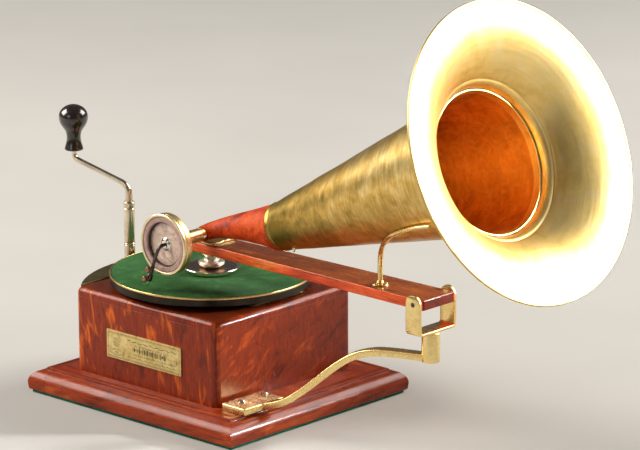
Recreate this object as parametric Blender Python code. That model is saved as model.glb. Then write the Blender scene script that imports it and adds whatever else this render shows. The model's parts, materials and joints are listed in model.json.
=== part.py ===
"""Wind-up phonograph with a vertical side crank, a wooden travelling arm and a brass horn.

Origin: centre of the underside of the base. +Z is up, the front of the case faces -Y and the
horn opens towards +X. Lengths are written in millimetres and scaled to metres by MM.
"""
import math

import bmesh
import bpy
from mathutils import Matrix, Vector

MM = 0.001
GAP = 0.3                 # air left between solids that touch

# Base and case
BASE_X, BASE_Y = 249.0, 223.0
FELT_T = 2.0
PLINTH_TOP = 22.4
PLINTH_LIP = 13.5         # width of the moulding around the flat top
CASE_X, CASE_Y = 171.6, 168.8
CASE_CENTRE = (-3.0, -1.6)
CASE_TOP = 97.6
WALL = 8.0
BOARD = 8.0               # thickness of the board that closes the case
CORNER = 6.5

# Turntable
SPINDLE = (-3.8, -2.4)
PLATTER_R = 89.0          # a seven inch disc fits it
PLATTER_TOP = 109.6
FELT_TOP = 110.7
CLAMP_R = 25.0

# Winding
CRANK = (-106.0, -2.0)
CRANK_R = 3.15
CRANK_REACH = 56.0
CRANK_ANGLE = math.radians(195)
CRANK_BEND_Z = 169.0
KNOB_Z = 194.6
BARREL = (-44.0, -2.4)
IDLER = (-76.0, -2.2)
MIDDLE = (-20.0, 21.7)
GOVERNOR_X = 11.9
GOVERNOR_Z = 58.0

# Motor frame
BOTTOM_PLATE = (34.0, 36.5)
TOP_PLATE = (86.5, 89.0)
FRAME_X = (-79.5, 42.0)
FRAME_Y = (-58.0, 52.0)

# Arm and yoke
PIVOT = (259.5, -12.0, 137.5)
ARM_TOP = 142.0
ARM_T = 9.0
ARM_FROM, ARM_TO = -7.0, 268.5
ARM_W_IN, ARM_W_OUT = 30.0, 39.6
YOKE_GAP = 40.4
YOKE_T = 2.5
YOKE_W = 16.0
POST_R = 7.75
POST_Z = (84.2, 110.2)

# Horn bracket: foot plate on the plinth and the bar that rises from it to the post
FOOT_LOW, FOOT_HIGH = (88.0, -85.0), (115.0, -36.5)
FOOT_TOP = 28.4
FOOT_SCREWS = ((98.5, -71.5), (97.0, -42.0))
BAR_FROM = (100.0, -63.0, 0.0)
BAR_W, BAR_T = 10.4, 6.0
BAR_RISE = ((0.03, 22.9), (0.10, 23.4), (0.14, 25.0), (0.19, 28.0), (0.24, 32.4), (0.295, 38.9),
            (0.35, 46.3), (0.405, 54.1), (0.46, 62.0), (0.515, 69.2), (0.57, 75.5), (0.625, 79.9),
            (0.68, 82.6), (0.73, 83.9), (0.80, 84.5), (0.89, 84.7), (1.0, 84.8))

# Soundbox, its front face looks along -Y
BOX = (10.5, -76.0, 150.9)
BOX_R = 27.0
BAR_TILT = math.radians(20.6)

# Horn
HORN_FROM = (91.5, -13.0, 169.4)
HORN_RISE = math.radians(22.5)
CONE_L = 246.0
CONE_R0, CONE_R1 = 20.5, 60.5
CREASE_L, CREASE_R = 257.0, 66.5     # where the throat of the bell turns into the flare
RIM_L, RIM_R = 288.4, 124.2

# Stay that holds the horn: distance along the cone and angle round it from underneath
STAY_FOOT = (209.0, -18.5)
STAY_R, STAY_TIP_R = 2.2, 1.5
STAY_CLEAR = 2.7
STAY_HUG = ((134.6, 31.9), (150.7, 43.2), (163.2, 47.3), (180.0, 50.2), (193.6, 51.1), (208.0, 50.4))


def clear_scene():
    for obj in list(bpy.data.objects):
        bpy.data.objects.remove(obj, do_unlink=True)


def material(name, colour, rough, metal=0.0):
    mat = bpy.data.materials.new(name)
    mat.use_nodes = True
    shader = mat.node_tree.nodes["Principled BSDF"]
    shader.inputs["Base Color"].default_value = (*colour, 1.0)
    shader.inputs["Roughness"].default_value = rough
    shader.inputs["Metallic"].default_value = metal
    return mat


def add(name, mesh_or_curve, finish):
    obj = bpy.data.objects.new(name, mesh_or_curve)
    bpy.context.collection.objects.link(obj)
    colour, rough, metal = FINISHES[finish]
    mesh_or_curve.materials.append(material(name, colour, rough, metal))
    return obj


def from_bmesh(name, bm, finish, smooth=False):
    bmesh.ops.remove_doubles(bm, verts=bm.verts, dist=1e-7)
    bmesh.ops.recalc_face_normals(bm, faces=bm.faces)
    mesh = bpy.data.meshes.new(name)
    bm.to_mesh(mesh)
    bm.free()
    for face in mesh.polygons:
        face.use_smooth = smooth
    return add(name, mesh, finish)


def prism(name, outline, z0, z1, finish):
    """A plate with a flat outline, from z0 up to z1."""
    bm = bmesh.new()
    face = bm.faces.new([bm.verts.new((x * MM, y * MM, z0 * MM)) for x, y in outline])
    top = bmesh.ops.extrude_face_region(bm, geom=[face])["geom"]
    verts = [v for v in top if isinstance(v, bmesh.types.BMVert)]
    bmesh.ops.translate(bm, verts=verts, vec=(0, 0, (z1 - z0) * MM))
    return from_bmesh(name, bm, finish)


def block(name, low, high, finish):
    outline = [(low[0], low[1]), (high[0], low[1]), (high[0], high[1]), (low[0], high[1])]
    return prism(name, outline, low[2], high[2], finish)


def lathe(name, outline, finish, steps=32, closed=True):
    """A body turned about its own Z axis from (radius, height) points."""
    bm = bmesh.new()
    verts = [bm.verts.new((r * MM, 0, z * MM)) for r, z in outline]
    ends = verts[1:] + verts[:1] if closed else verts[1:]
    edges = [bm.edges.new(pair) for pair in zip(verts, ends)]
    bmesh.ops.spin(bm, geom=verts + edges, cent=(0, 0, 0), axis=(0, 0, 1),
                   angle=math.tau, steps=steps, use_merge=True)
    return from_bmesh(name, bm, finish, smooth=True)


def rod(r, z0, z1):
    """Outline of a plain solid rod for lathe, read with closed=False."""
    return [(0, z0), (r, z0), (r, z1), (0, z1)]


def skin(name, rings, finish, closed=False, smooth=False):
    """Joins rings of points, each with the same count, into one closed body."""
    bm = bmesh.new()
    loops = [[bm.verts.new(Vector(p) * MM) for p in ring] for ring in rings]
    following = loops[1:] + loops[:1] if closed else loops[1:]
    for a, b in zip(loops, following):
        for i in range(len(a)):
            j = (i + 1) % len(a)
            bm.faces.new((a[i], a[j], b[j], b[i]))
    if not closed:
        bm.faces.new(loops[0])
        bm.faces.new(loops[-1])
    return from_bmesh(name, bm, finish, smooth)


def wire(name, points, radii, finish, sides=12):
    """A round solid rod along a route, its section carried along without twist."""
    points = [Vector(p) for p in points]
    across = None
    rings = []
    for i, (point, radius) in enumerate(zip(points, radii)):
        along = (points[min(i + 1, len(points) - 1)] - points[max(i - 1, 0)]).normalized()
        if across is None:
            across = along.orthogonal()
        across = (across - along * across.dot(along)).normalized()
        other = along.cross(across)
        rings.append([point + (across * math.cos(math.tau * k / sides)
                               + other * math.sin(math.tau * k / sides)) * radius
                      for k in range(sides)])
    return skin(name, rings, finish, smooth=True)


def at(obj, x, y, z, turn=(0, 0, 0)):
    obj.location = (x * MM, y * MM, z * MM)
    obj.rotation_euler = turn
    return obj


def boolean(obj, tool, operation):
    step = obj.modifiers.new(tool.name, "BOOLEAN")
    step.operation = operation
    step.solver = "EXACT"
    step.object = tool
    tool.hide_render = True
    tool.display_type = "WIRE"
    tool.hide_set(True)
    return obj


def cut(obj, *tools):
    for tool in tools:
        boolean(obj, tool, "DIFFERENCE")
    return obj


def join(obj, *tools):
    for tool in tools:
        boolean(obj, tool, "UNION")
    return obj


def pivot(name, x, y, z, parent=None):
    """An empty on a joint axis; the pieces that turn there are hung on it."""
    empty = bpy.data.objects.new(name, None)
    bpy.context.collection.objects.link(empty)
    place = Matrix.Translation(Vector((x, y, z)) * MM)
    empty.matrix_world = place
    if parent:
        empty.parent = parent
        empty.matrix_parent_inverse = PLACES[parent.name].inverted()
    PLACES[name] = place
    return empty


def hang(empty, *objs):
    for obj in objs:
        obj.parent = empty
        obj.matrix_parent_inverse = PLACES[empty.name].inverted()


def arc(cx, cy, r, start, end, count):
    angles = [math.radians(start + (end - start) * i / count) for i in range(count + 1)]
    return [(cx + r * math.cos(a), cy + r * math.sin(a)) for a in angles]


def rounded(x0, y0, x1, y1, r, count=4):
    """Rectangle with round corners."""
    return (arc(x1 - r, y1 - r, r, 0, 90, count) + arc(x0 + r, y1 - r, r, 90, 180, count)
            + arc(x0 + r, y0 + r, r, 180, 270, count) + arc(x1 - r, y0 + r, r, 270, 360, count))


def teeth(count, tip, depth):
    """Outline of a toothed wheel."""
    points = []
    for i in range(count):
        for part, r in ((0.0, tip - depth), (0.28, tip - depth), (0.42, tip), (0.86, tip)):
            a = math.tau * (i + part) / count
            points.append((r * math.cos(a), r * math.sin(a)))
    return points


def bezier(p, t):
    s = 1 - t
    return sum((Vector(q) * w for q, w in
                zip(p, (s ** 3, 3 * s * s * t, 3 * s * t * t, t ** 3))), Vector())


FINISHES = {
    "mahogany": ((0.33, 0.055, 0.014), 0.25, 0.0),
    "dark mahogany": ((0.16, 0.035, 0.012), 0.25, 0.0),
    "arm wood": ((0.50, 0.09, 0.03), 0.25, 0.0),
    "felt": ((0.04, 0.16, 0.05), 0.95, 0.0),
    "base felt": ((0.02, 0.16, 0.09), 0.95, 0.0),
    "brass": ((0.80, 0.52, 0.18), 0.25, 1.0),
    "horn brass": ((0.60, 0.36, 0.09), 0.35, 1.0),
    "bronze": ((0.22, 0.17, 0.07), 0.35, 1.0),
    "nickel": ((0.75, 0.70, 0.62), 0.18, 1.0),
    "steel": ((0.45, 0.45, 0.45), 0.35, 1.0),
    "copper": ((0.55, 0.27, 0.16), 0.3, 1.0),
    "leather": ((0.55, 0.12, 0.03), 0.5, 0.0),
    "ebony": ((0.015, 0.010, 0.008), 0.15, 0.0),
    "mica": ((0.75, 0.60, 0.50), 0.3, 0.0),
    "rubber": ((0.42, 0.27, 0.26), 0.6, 0.0),
}
PLACES = {}


def build_base():
    hx, hy = BASE_X / 2, BASE_Y / 2
    block("base_felt", (-hx + 2.5, -hy + 2.5, 0), (hx - 2.5, hy - 2.5, FELT_T), "base felt")
    bead_z, bead_in = 8.5, 11.0
    profile = [(3.0, FELT_T + GAP), (0.8, 4.2)]
    for i in range(7):
        a = math.radians(90 * i / 6)
        profile.append((bead_in * (1 - math.cos(a)), bead_z + 11.4 * math.sin(a)))
    profile += [(PLINTH_LIP - 1.3, 19.9), (PLINTH_LIP - 1.3, 21.8), (PLINTH_LIP - 0.5, PLINTH_TOP)]
    rings = [[(-hx + d, -hy + d, z), (hx - d, -hy + d, z), (hx - d, hy - d, z), (-hx + d, hy - d, z)]
             for d, z in profile]
    skin("plinth", rings, "mahogany")


def wall_outline(length, thick):
    """Half-mitred wall seen from above: outer side along y=0, ends cut at 45 degrees."""
    half = length / 2
    mitre = CORNER * (1 - math.cos(math.radians(45)))
    right = arc(half - CORNER, CORNER, CORNER, 270, 315, 3)
    left = arc(-half + CORNER, CORNER, CORNER, 225, 270, 3)
    g = GAP / 2 * math.sqrt(2)
    inner = [(half - thick - g, thick), (-half + thick + g, thick)]
    right[-1] = (half - mitre - g, mitre)
    left[0] = (-half + mitre + g, mitre)
    return right + inner + left


def build_case():
    cx, cy = CASE_CENTRE
    z0, z1 = PLINTH_TOP + GAP, CASE_TOP - BOARD - GAP
    sides = (("case_front", CASE_X, 0, (0, -CASE_Y / 2)), ("case_right", CASE_Y, 90, (CASE_X / 2, 0)),
             ("case_back", CASE_X, 180, (0, CASE_Y / 2)), ("case_left", CASE_Y, 270, (-CASE_X / 2, 0)))
    for name, length, turn, (dx, dy) in sides:
        wall = prism(name, wall_outline(length, WALL), z0, z1, "mahogany")
        at(wall, cx + dx, cy + dy, 0, (0, 0, math.radians(turn)))
    slot = block("slot_cutter", (cx - CASE_X / 2 - 5, IDLER[1] - 20, 77.0),
                 (cx - CASE_X / 2 + WALL + 5, IDLER[1] + 20, 86.0), "steel")
    cut(bpy.data.objects["case_left"], slot)

    hx, hy = CASE_X / 2, CASE_Y / 2
    layers = [(0.0, CASE_TOP - BOARD)]
    for i in range(5):
        a = math.radians(90 * i / 4)
        layers.append((5.5 * (1 - math.cos(a)), CASE_TOP - 5.5 * (1 - math.sin(a))))
    rings = []
    for d, z in layers:
        r = CORNER - d * 0.7
        flat = rounded(cx - hx + d, cy - hy + d, cx + hx - d, cy + hy - d, r)
        rings.append([(x, y, z) for x, y in flat])
    board = skin("case_top", rings, "dark mahogany")
    hole = at(lathe("spindle_hole", rod(5.0, 80, 110), "steel", 24, False), *SPINDLE, 0)
    cut(board, hole)

    face = cy - hy
    block("name_plate", (cx - 45.5, face - GAP - 1.0, 42.5), (cx + 45.0, face - GAP, 67.5), "brass")


def build_winding():
    x_wall = CASE_CENTRE[0] - CASE_X / 2 - GAP
    reach = math.hypot(x_wall - SPINDLE[0], 76.0)
    span = math.degrees(math.asin(76.0 / reach))
    rim = arc(SPINDLE[0], SPINDLE[1], reach, 180 - span, 180 + span, 16)
    bracket = prism("winding_bracket", rim, 88.0, 97.4, "bronze")
    hole = at(lathe("bearing_hole", rod(5.2, 80, 110), "steel", 24, False), *CRANK, 0)
    cut(bracket, hole)
    tube = [(3.6, 86.5), (7.0, 86.5), (7.0, 87.7), (4.85, 87.7), (4.85, 116.6), (4.3, 117.2),
            (3.6, 117.2)]
    at(lathe("crank_bearing", tube, "nickel", 16), *CRANK, 0)

    turn = pivot("crank_axis", *CRANK, 0)
    route, radii = [(0, 0, 77.5), (0, 0, CRANK_BEND_Z - 9)], [CRANK_R, CRANK_R]
    out = Vector((math.cos(CRANK_ANGLE), math.sin(CRANK_ANGLE), 0))
    start, end = Vector((0, 0, CRANK_BEND_Z - 9)), out * CRANK_REACH + Vector((0, 0, KNOB_Z - 2))
    corner_in, corner_out = Vector((0, 0, CRANK_BEND_Z)), out * CRANK_REACH + Vector((0, 0, KNOB_Z - 7))
    lean = (corner_out - corner_in).normalized()
    for i in range(1, 7):
        t = i / 6
        point = start * (1 - t) ** 2 + corner_in * 2 * t * (1 - t) + (corner_in + lean * 9) * t * t
        route.append(tuple(point))
        radii.append(CRANK_R + (2.4 - CRANK_R) * t)
    for i in range(1, 6):
        t = i / 5
        point = (corner_out - lean * 5) * (1 - t) ** 2 + corner_out * 2 * t * (1 - t) + end * t * t
        route.append(tuple(point))
        radii.append(2.4)
    route.append(tuple(out * CRANK_REACH + Vector((0, 0, KNOB_Z + 30))))
    radii.append(2.2)
    crank = at(wire("crank_rod", route, radii, "nickel", 10), *CRANK, 0)

    pinion = at(prism("crank_pinion", teeth(12, 12.0, 2.2), 79.0, 85.0, "steel"), *CRANK, 0)
    join(crank, pinion)
    tube = [(CRANK_R + GAP + 0.1, 117.6), (4.85, 117.6), (4.85, 153.8), (4.2, 154.6),
            (CRANK_R + GAP + 0.1, 154.6)]
    sleeve = at(lathe("crank_sleeve", tube, "nickel", 16), *CRANK, 0)
    hang(turn, crank, pinion, sleeve)

    kx = CRANK[0] + CRANK_REACH * math.cos(CRANK_ANGLE)
    ky = CRANK[1] + CRANK_REACH * math.sin(CRANK_ANGLE)
    spin = pivot("knob_axis", kx, ky, KNOB_Z, turn)
    grip = [(0, 31.2), (2.7, 31.2), (2.7, 0.6), (7.4, 0.6), (8.3, 1.6), (7.9, 3.2), (6.6, 8.0),
            (6.3, 13.0), (7.4, 17.5), (10.4, 22.0), (12.6, 26.5), (13.0, 31.0), (11.6, 35.6),
            (8.2, 39.3), (4.2, 41.2), (0, 41.8)]
    knob = at(lathe("crank_knob", grip, "ebony", 20, False), kx, ky, KNOB_Z)
    hang(spin, knob)

    turn = pivot("idler_axis", *IDLER, 0)
    wheel = prism("idler_wheel", teeth(18, 17.6, 2.2), 79.5, 83.0, "brass")
    at(join(wheel, lathe("idler_arbor", rod(2.4, 66, 86.2), "steel", 12, False)), *IDLER, 0)
    at(bpy.data.objects["idler_arbor"], *IDLER, 0)
    hang(turn, wheel, bpy.data.objects["idler_arbor"])
    arm = [(IDLER[0] - 3.2, IDLER[1] - 5), (IDLER[0] + 4, IDLER[1] - 5), (IDLER[0] + 4, IDLER[1] + 34),
           (IDLER[0] - 3.2, IDLER[1] + 34)]
    prism("idler_bridge", arm, 63.0, 65.7, "steel")


def build_motor():
    (x0, x1), (y0, y1) = FRAME_X, FRAME_Y
    bottom = block("motor_bottom_plate", (x0, y0, BOTTOM_PLATE[0]), (x1, y1, BOTTOM_PLATE[1]), "steel")
    top = block("motor_top_plate", (x0, y0, TOP_PLATE[0]), (x1, y1, TOP_PLATE[1]), "steel")
    hole = at(lathe("top_plate_hole", rod(5.0, 80, 95), "steel", 24, False), *SPINDLE, 0)
    cut(top, hole)
    corners = [(x, y) for x in (x0 + 6, x1 - 6) for y in (y0 + 6, y1 - 6)]
    for number, (x, y) in enumerate(corners, 1):
        post = rod(3.2, BOTTOM_PLATE[1] + GAP, TOP_PLATE[0] - GAP)
        at(lathe(f"motor_pillar_{number}", post, "brass", 12, False), x, y, 0)
    for number, y in enumerate((-50.0, 14.0), 1):
        low, high = (GOVERNOR_X - 5, y - 2.5, BOTTOM_PLATE[1] + GAP), (GOVERNOR_X + 5, y + 2.5, 64.0)
        bracket = block(f"governor_bracket_{number}", low, high, "brass")
        bore = lathe(f"governor_bore_{number}", rod(1.9, -4, 4), "steel", 12, False)
        cut(bracket, at(bore, GOVERNOR_X, y, GOVERNOR_Z, (math.pi / 2, 0, 0)))

    turn = pivot("winding_axis", *BARREL, 0)
    arbor = lathe("winding_arbor", rod(3.0, BOTTOM_PLATE[1] + GAP, TOP_PLATE[0] - GAP), "steel", 16, False)
    wheel = prism("winding_wheel", teeth(14, 14.0, 2.2), 79.5, 83.0, "brass")
    ratchet = prism("ratchet_teeth", teeth(12, 9.5, 1.6), 74.5, 77.0, "brass")
    for obj in (arbor, wheel, ratchet):
        at(obj, *BARREL, 0)
    join(arbor, wheel, ratchet)
    hang(turn, arbor, wheel, ratchet)

    turn = pivot("barrel_axis", *BARREL, 0)
    drum = [(3.4, 48.0), (25.6, 48.0), (25.6, 72.0), (24.4, 72.0), (24.4, 49.4), (3.4, 49.4)]
    drum = lathe("spring_barrel", drum, "brass", 28)
    gear = prism("great_gear", teeth(28, 27.7, 1.6), 48.4, 51.4, "brass")
    gear_hole = lathe("great_gear_hole", rod(25.0, 40, 60), "steel", 28, False)
    cut(gear, gear_hole)
    for obj in (drum, gear, gear_hole):
        at(obj, *BARREL, 0)
    join(drum, gear)
    coils = []
    for side in (0.35, -0.35):
        row = []
        for i in range(49):
            a = math.tau * 3 * i / 48
            r = 8.0 + 15.2 * i / 48 + side
            row.append((r * math.cos(a), r * math.sin(a)))
        coils.append(row)
    outline = coils[0] + coils[1][::-1]
    spring = at(prism("mainspring", outline, 50.5, 71.0, "steel"), *BARREL, 0)
    hang(turn, drum, gear, gear_hole, spring)

    turn = pivot("middle_axis", *MIDDLE, 0)
    arbor = lathe("middle_arbor", rod(2.4, BOTTOM_PLATE[1] + GAP, TOP_PLATE[0] - GAP), "steel", 12, False)
    wheel = prism("middle_wheel", teeth(30, 23.4, 1.8), 42.5, 45.0, "brass")
    pinion = prism("middle_pinion", teeth(8, 5.6, 1.4), 46.6, 52.6, "steel")
    for obj in (arbor, wheel, pinion):
        at(obj, *MIDDLE, 0)
    join(arbor, wheel, pinion)
    hang(turn, arbor, wheel, pinion)

    turn = pivot("governor_axis", GOVERNOR_X, -18.0, GOVERNOR_Z)
    lay = (math.pi / 2, 0, 0)
    shaft = [(0, -33.5), (1.5, -33.5), (1.5, -18.5), (3.0, -18.5), (3.0, -12.5), (1.5, -12.5),
             (1.5, -3.0), (3.4, -3.0), (3.4, 0), (1.5, 0), (1.5, 20.0), (11.0, 20.0), (11.0, 21.6),
             (3.4, 21.6), (3.4, 24.0), (1.5, 24.0), (1.5, 33.5), (0, 33.5)]
    governor = lathe("governor_shaft", shaft, "steel", 14, False)
    at(governor, GOVERNOR_X, -18.0, GOVERNOR_Z, lay)
    hang(turn, governor)
    for number in range(3):
        a = math.tau * number / 3
        ball = lathe(f"governor_weight_{number + 1}", [(0, 6.5), (3.2, 6.5), (3.2, 12.5), (0, 12.5)],
                     "brass", 16, False)
        x, z = GOVERNOR_X + 6.6 * math.cos(a), GOVERNOR_Z + 6.6 * math.sin(a)
        hang(turn, at(ball, x, -18.0, z, lay))


def build_turntable():
    turn = pivot("turntable_axis", *SPINDLE, 0)
    body = [(0, 36.8), (3.0, 36.8), (3.0, 98.6), (7.0, 98.6), (7.0, 100.4), (3.4, 100.4),
            (3.4, 128.0), (2.6, 129.0), (0, 129.0)]
    spindle = lathe("spindle", body, "steel", 16, False)
    worm_wheel = prism("worm_wheel", teeth(20, 11.6, 1.6), 54.5, 61.5, "brass")
    pinion = prism("spindle_pinion", teeth(8, 5.0, 1.2), 41.0, 47.0, "steel")
    deck = [(3.7, 100.7), (13.0, 100.7), (13.0, 106.2), (84.6, 106.2), (84.6, 103.4), (85.6, 102.6),
            (88.2, 102.6), (PLATTER_R, 103.4), (PLATTER_R, 110.3), (88.6, 110.8), (87.8, 110.8),
            (87.8, PLATTER_TOP), (3.7, PLATTER_TOP)]
    platter = lathe("turntable_platter", deck, "brass", 48)
    pad = [(4.0, PLATTER_TOP + GAP), (87.4, PLATTER_TOP + GAP), (87.4, FELT_TOP), (4.0, FELT_TOP)]
    felt = lathe("turntable_felt", pad, "felt", 48)
    dish = [(4.0, 111.0), (CLAMP_R - 1, 111.0), (CLAMP_R, 112.0), (CLAMP_R, 114.6), (24.4, 115.2),
            (23.4, 115.2), (21.5, 114.0), (4.0, 114.0)]
    clamp = lathe("clamp_disc", dish, "nickel", 32)
    for obj in (spindle, worm_wheel, pinion, platter, felt, clamp):
        at(obj, *SPINDLE, 0)
    join(spindle, worm_wheel, pinion)
    hang(turn, spindle, worm_wheel, pinion, platter, felt, clamp)

    turn = pivot("clamp_nut_axis", *SPINDLE, 0, turn)
    nut = [(0, 129.6), (3.8, 129.6), (3.8, 114.4), (8.0, 114.4), (11.6, 117.0), (11.6, 119.0),
           (6.4, 121.0), (6.0, 124.4), (8.6, 126.0), (8.9, 129.6), (7.6, 131.2), (0, 131.6)]
    nut = at(lathe("clamp_nut", nut, "nickel", 24, False), *SPINDLE, 0)
    hang(turn, nut)


def build_brake():
    px, py = 68.0, -27.0
    turn = pivot("brake_axis", px, py, CASE_TOP)
    outline = (arc(0, 0, 5, 180, 360, 8) + [(4.0, 44.0), (5.8, 56.0)] + arc(1.2, 58.0, 4.6, 0, 180, 8)
               + [(-4.0, 44.0)])
    lever = prism("brake_lever", outline, 98.2, 99.6, "brass")
    pin = lathe("brake_pin", rod(2.2, 97.9, 102.4), "steel", 16, False)
    shoe = prism("brake_shoe", rounded(-1.0, 42.0, 7.0, 52.0, 1.5, 2), 98.4, 105.2, "brass")
    for obj in (lever, pin, shoe):
        at(obj, px, py, 0)
    join(lever, pin, shoe)
    hang(turn, lever, pin, shoe)


def build_bracket():
    for number, (x, y) in enumerate(FOOT_SCREWS, 1):
        top = FOOT_TOP + GAP
        head = [(0, top), (3.4, top), (3.4, top + 0.7), (2.2, top + 1.6), (0, top + 1.8)]
        screw = at(lathe(f"foot_screw_{number}", head, "nickel", 20, False), x, y, 0)
        slot = block(f"screw_slot_{number}", (-5, -0.5, top + 1.1), (5, 0.5, top + 3), "steel")
        cut(screw, at(slot, x, y, 0, (0, 0, math.radians(35))))

    start, end = Vector(BAR_FROM), Vector((PIVOT[0], PIVOT[1], 0))
    heading = (end - start).normalized()
    side = Vector((-heading.y, heading.x, 0))
    length = (end - start).length
    rings = []
    for i, (t, z) in enumerate(BAR_RISE):
        before, after = BAR_RISE[max(i - 1, 0)], BAR_RISE[min(i + 1, len(BAR_RISE) - 1)]
        along = heading * (after[0] - before[0]) * length + Vector((0, 0, after[1] - before[1]))
        lift = along.cross(side).normalized()
        centre = start + heading * t * length + Vector((0, 0, z)) + lift * BAR_T / 2
        section = rounded(-BAR_W / 2, -BAR_T / 2, BAR_W / 2, BAR_T / 2, 1.0, 1)
        rings.append([centre + side * u + lift * v for u, v in section])
    bar = skin("bracket_bar", rings, "brass")
    (x0, y0), (x1, y1) = FOOT_LOW, FOOT_HIGH
    plate = prism("foot_plate", rounded(x0, y0, x1, y1, 1.5, 2), PLINTH_TOP + GAP, FOOT_TOP, "brass")
    post = at(lathe("bracket_post", rod(POST_R, *POST_Z), "brass", 24, False), end.x, end.y, 0)
    bore = at(lathe("post_bore", rod(4.4, POST_Z[0] + 6, POST_Z[1] + 5), "brass", 24, False),
              end.x, end.y, 0)
    join(bar, plate, post)
    cut(bar, bore)


def build_yoke():
    px, py, pz = PIVOT
    swing = pivot("arm_swing_axis", px, py, 0)
    inner, outer = YOKE_GAP / 2, YOKE_GAP / 2 + YOKE_T
    low = POST_Z[1] + GAP
    strap = [(-outer, pz + 8), (-outer, low + 2)]
    strap += [(-outer + 2, low), (outer - 2, low), (outer, low + 2), (outer, pz + 8)]
    strap += [(inner, pz + 8), (inner, low + YOKE_T + 1), (inner - 1, low + YOKE_T)]
    strap += [(-inner + 1, low + YOKE_T), (-inner, low + YOKE_T + 1), (-inner, pz + 8)]
    yoke = prism("yoke", strap, -YOKE_W / 2, YOKE_W / 2, "brass")
    at(yoke, px, py, 0, (math.pi / 2, 0, math.pi / 2))
    ear = arc(0, pz, YOKE_W / 2 - 0.05, 0, 180, 12) + [(-20, pz), (-20, pz + 20), (20, pz + 20), (20, pz)]
    round_off = prism("ear_cutter", ear, -40, 40, "brass")
    at(round_off, px, py, 0, (math.pi / 2, 0, 0))
    holes = lathe("ear_holes", rod(2.4, -40, 40), "brass", 16, False)
    at(holes, px, py, pz, (math.pi / 2, 0, 0))
    stem = at(lathe("yoke_stem", rod(4.0, POST_Z[0] + 8, low + 1), "brass", 24, False), px, py, 0)
    cut(yoke, round_off, holes)
    join(yoke, stem)
    hang(swing, yoke, round_off, holes, stem)

    lift = pivot("arm_lift_axis", px, py, pz, swing)
    for number, sign in ((1, -1), (2, 1)):
        pin = [(0, inner - 8.0), (2.0, inner - 8.0), (2.0, outer + GAP), (2.8, outer + GAP),
               (2.8, outer + 0.8), (2.2, outer + 1.2), (0, outer + 1.3)]
        screw = lathe(f"pivot_screw_{number}", pin, "nickel", 16, False)
        at(screw, px, py, pz, (-sign * math.pi / 2, 0, 0))
        hang(lift, screw)
    return lift


def build_arm(lift):
    px, py, pz = PIVOT
    a, b = ARM_W_IN / 2, ARM_W_OUT / 2
    outline = [(ARM_FROM + 3, py - a), (ARM_TO - 2.5, py - b), (ARM_TO, py - b + 2.5),
               (ARM_TO, py + b - 2.5), (ARM_TO - 2.5, py + b), (ARM_FROM + 3, py + a),
               (ARM_FROM, py + a - 3), (ARM_FROM, py - a + 3)]
    arm = prism("arm", outline, ARM_TOP - ARM_T, ARM_TOP, "arm wood")
    bevel = arm.modifiers.new("round edges", "BEVEL")
    bevel.width = 1.2 * MM
    bevel.segments = 2
    holes = lathe("arm_pivot_holes", rod(2.3, -40, 40), "steel", 16, False)
    at(holes, px, py, pz, (math.pi / 2, 0, 0))
    cut(arm, holes)
    plate = [(-4.0, py - 14.2), (21.0, py - 14.4), (21.0, py + 14.0), (-4.0, py + 14.0)]
    plate = prism("saddle_plate", plate, ARM_TOP + GAP, ARM_TOP + 1.5, "brass")
    hang(lift, arm, holes, plate)

    foot = [(0, ARM_TOP + GAP), (7.5, ARM_TOP + GAP), (7.5, ARM_TOP + 1.3), (3.4, ARM_TOP + 2.0),
            (2.6, ARM_TOP + 4.0), (0, ARM_TOP + 4.0)]
    fx, fy = STAY_FOOT
    foot = at(lathe("stay_foot", foot, "brass", 24, False), fx, fy, 0)
    route = [(fx, fy, ARM_TOP + 4.3), (fx, fy, 152.0), (fx, fy, 160.0)]
    route += [(fx + 3.0, fy - 2.5, 170.0), (fx + 12.0, fy - 10.5, 179.0)]
    axis = Vector((math.cos(HORN_RISE), 0, math.sin(HORN_RISE)))
    down = Vector((math.sin(HORN_RISE), 0, -math.cos(HORN_RISE)))
    near = Vector((0, -1, 0))
    for along, angle in STAY_HUG:
        turn = math.radians(angle)
        r = CONE_R0 + (CONE_R1 - CONE_R0) * along / CONE_L + STAY_CLEAR
        spoke = down * math.cos(turn) + near * math.sin(turn)
        route.append(tuple(Vector(HORN_FROM) + axis * along + spoke * r))
    last = len(route) - 1
    radii = [STAY_R - (STAY_R - STAY_TIP_R) * max(0, i - 3) / (last - 3) for i in range(len(route))]
    stay = wire("horn_stay", route, radii, "brass", 8)
    hang(lift, foot, stay)


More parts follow.
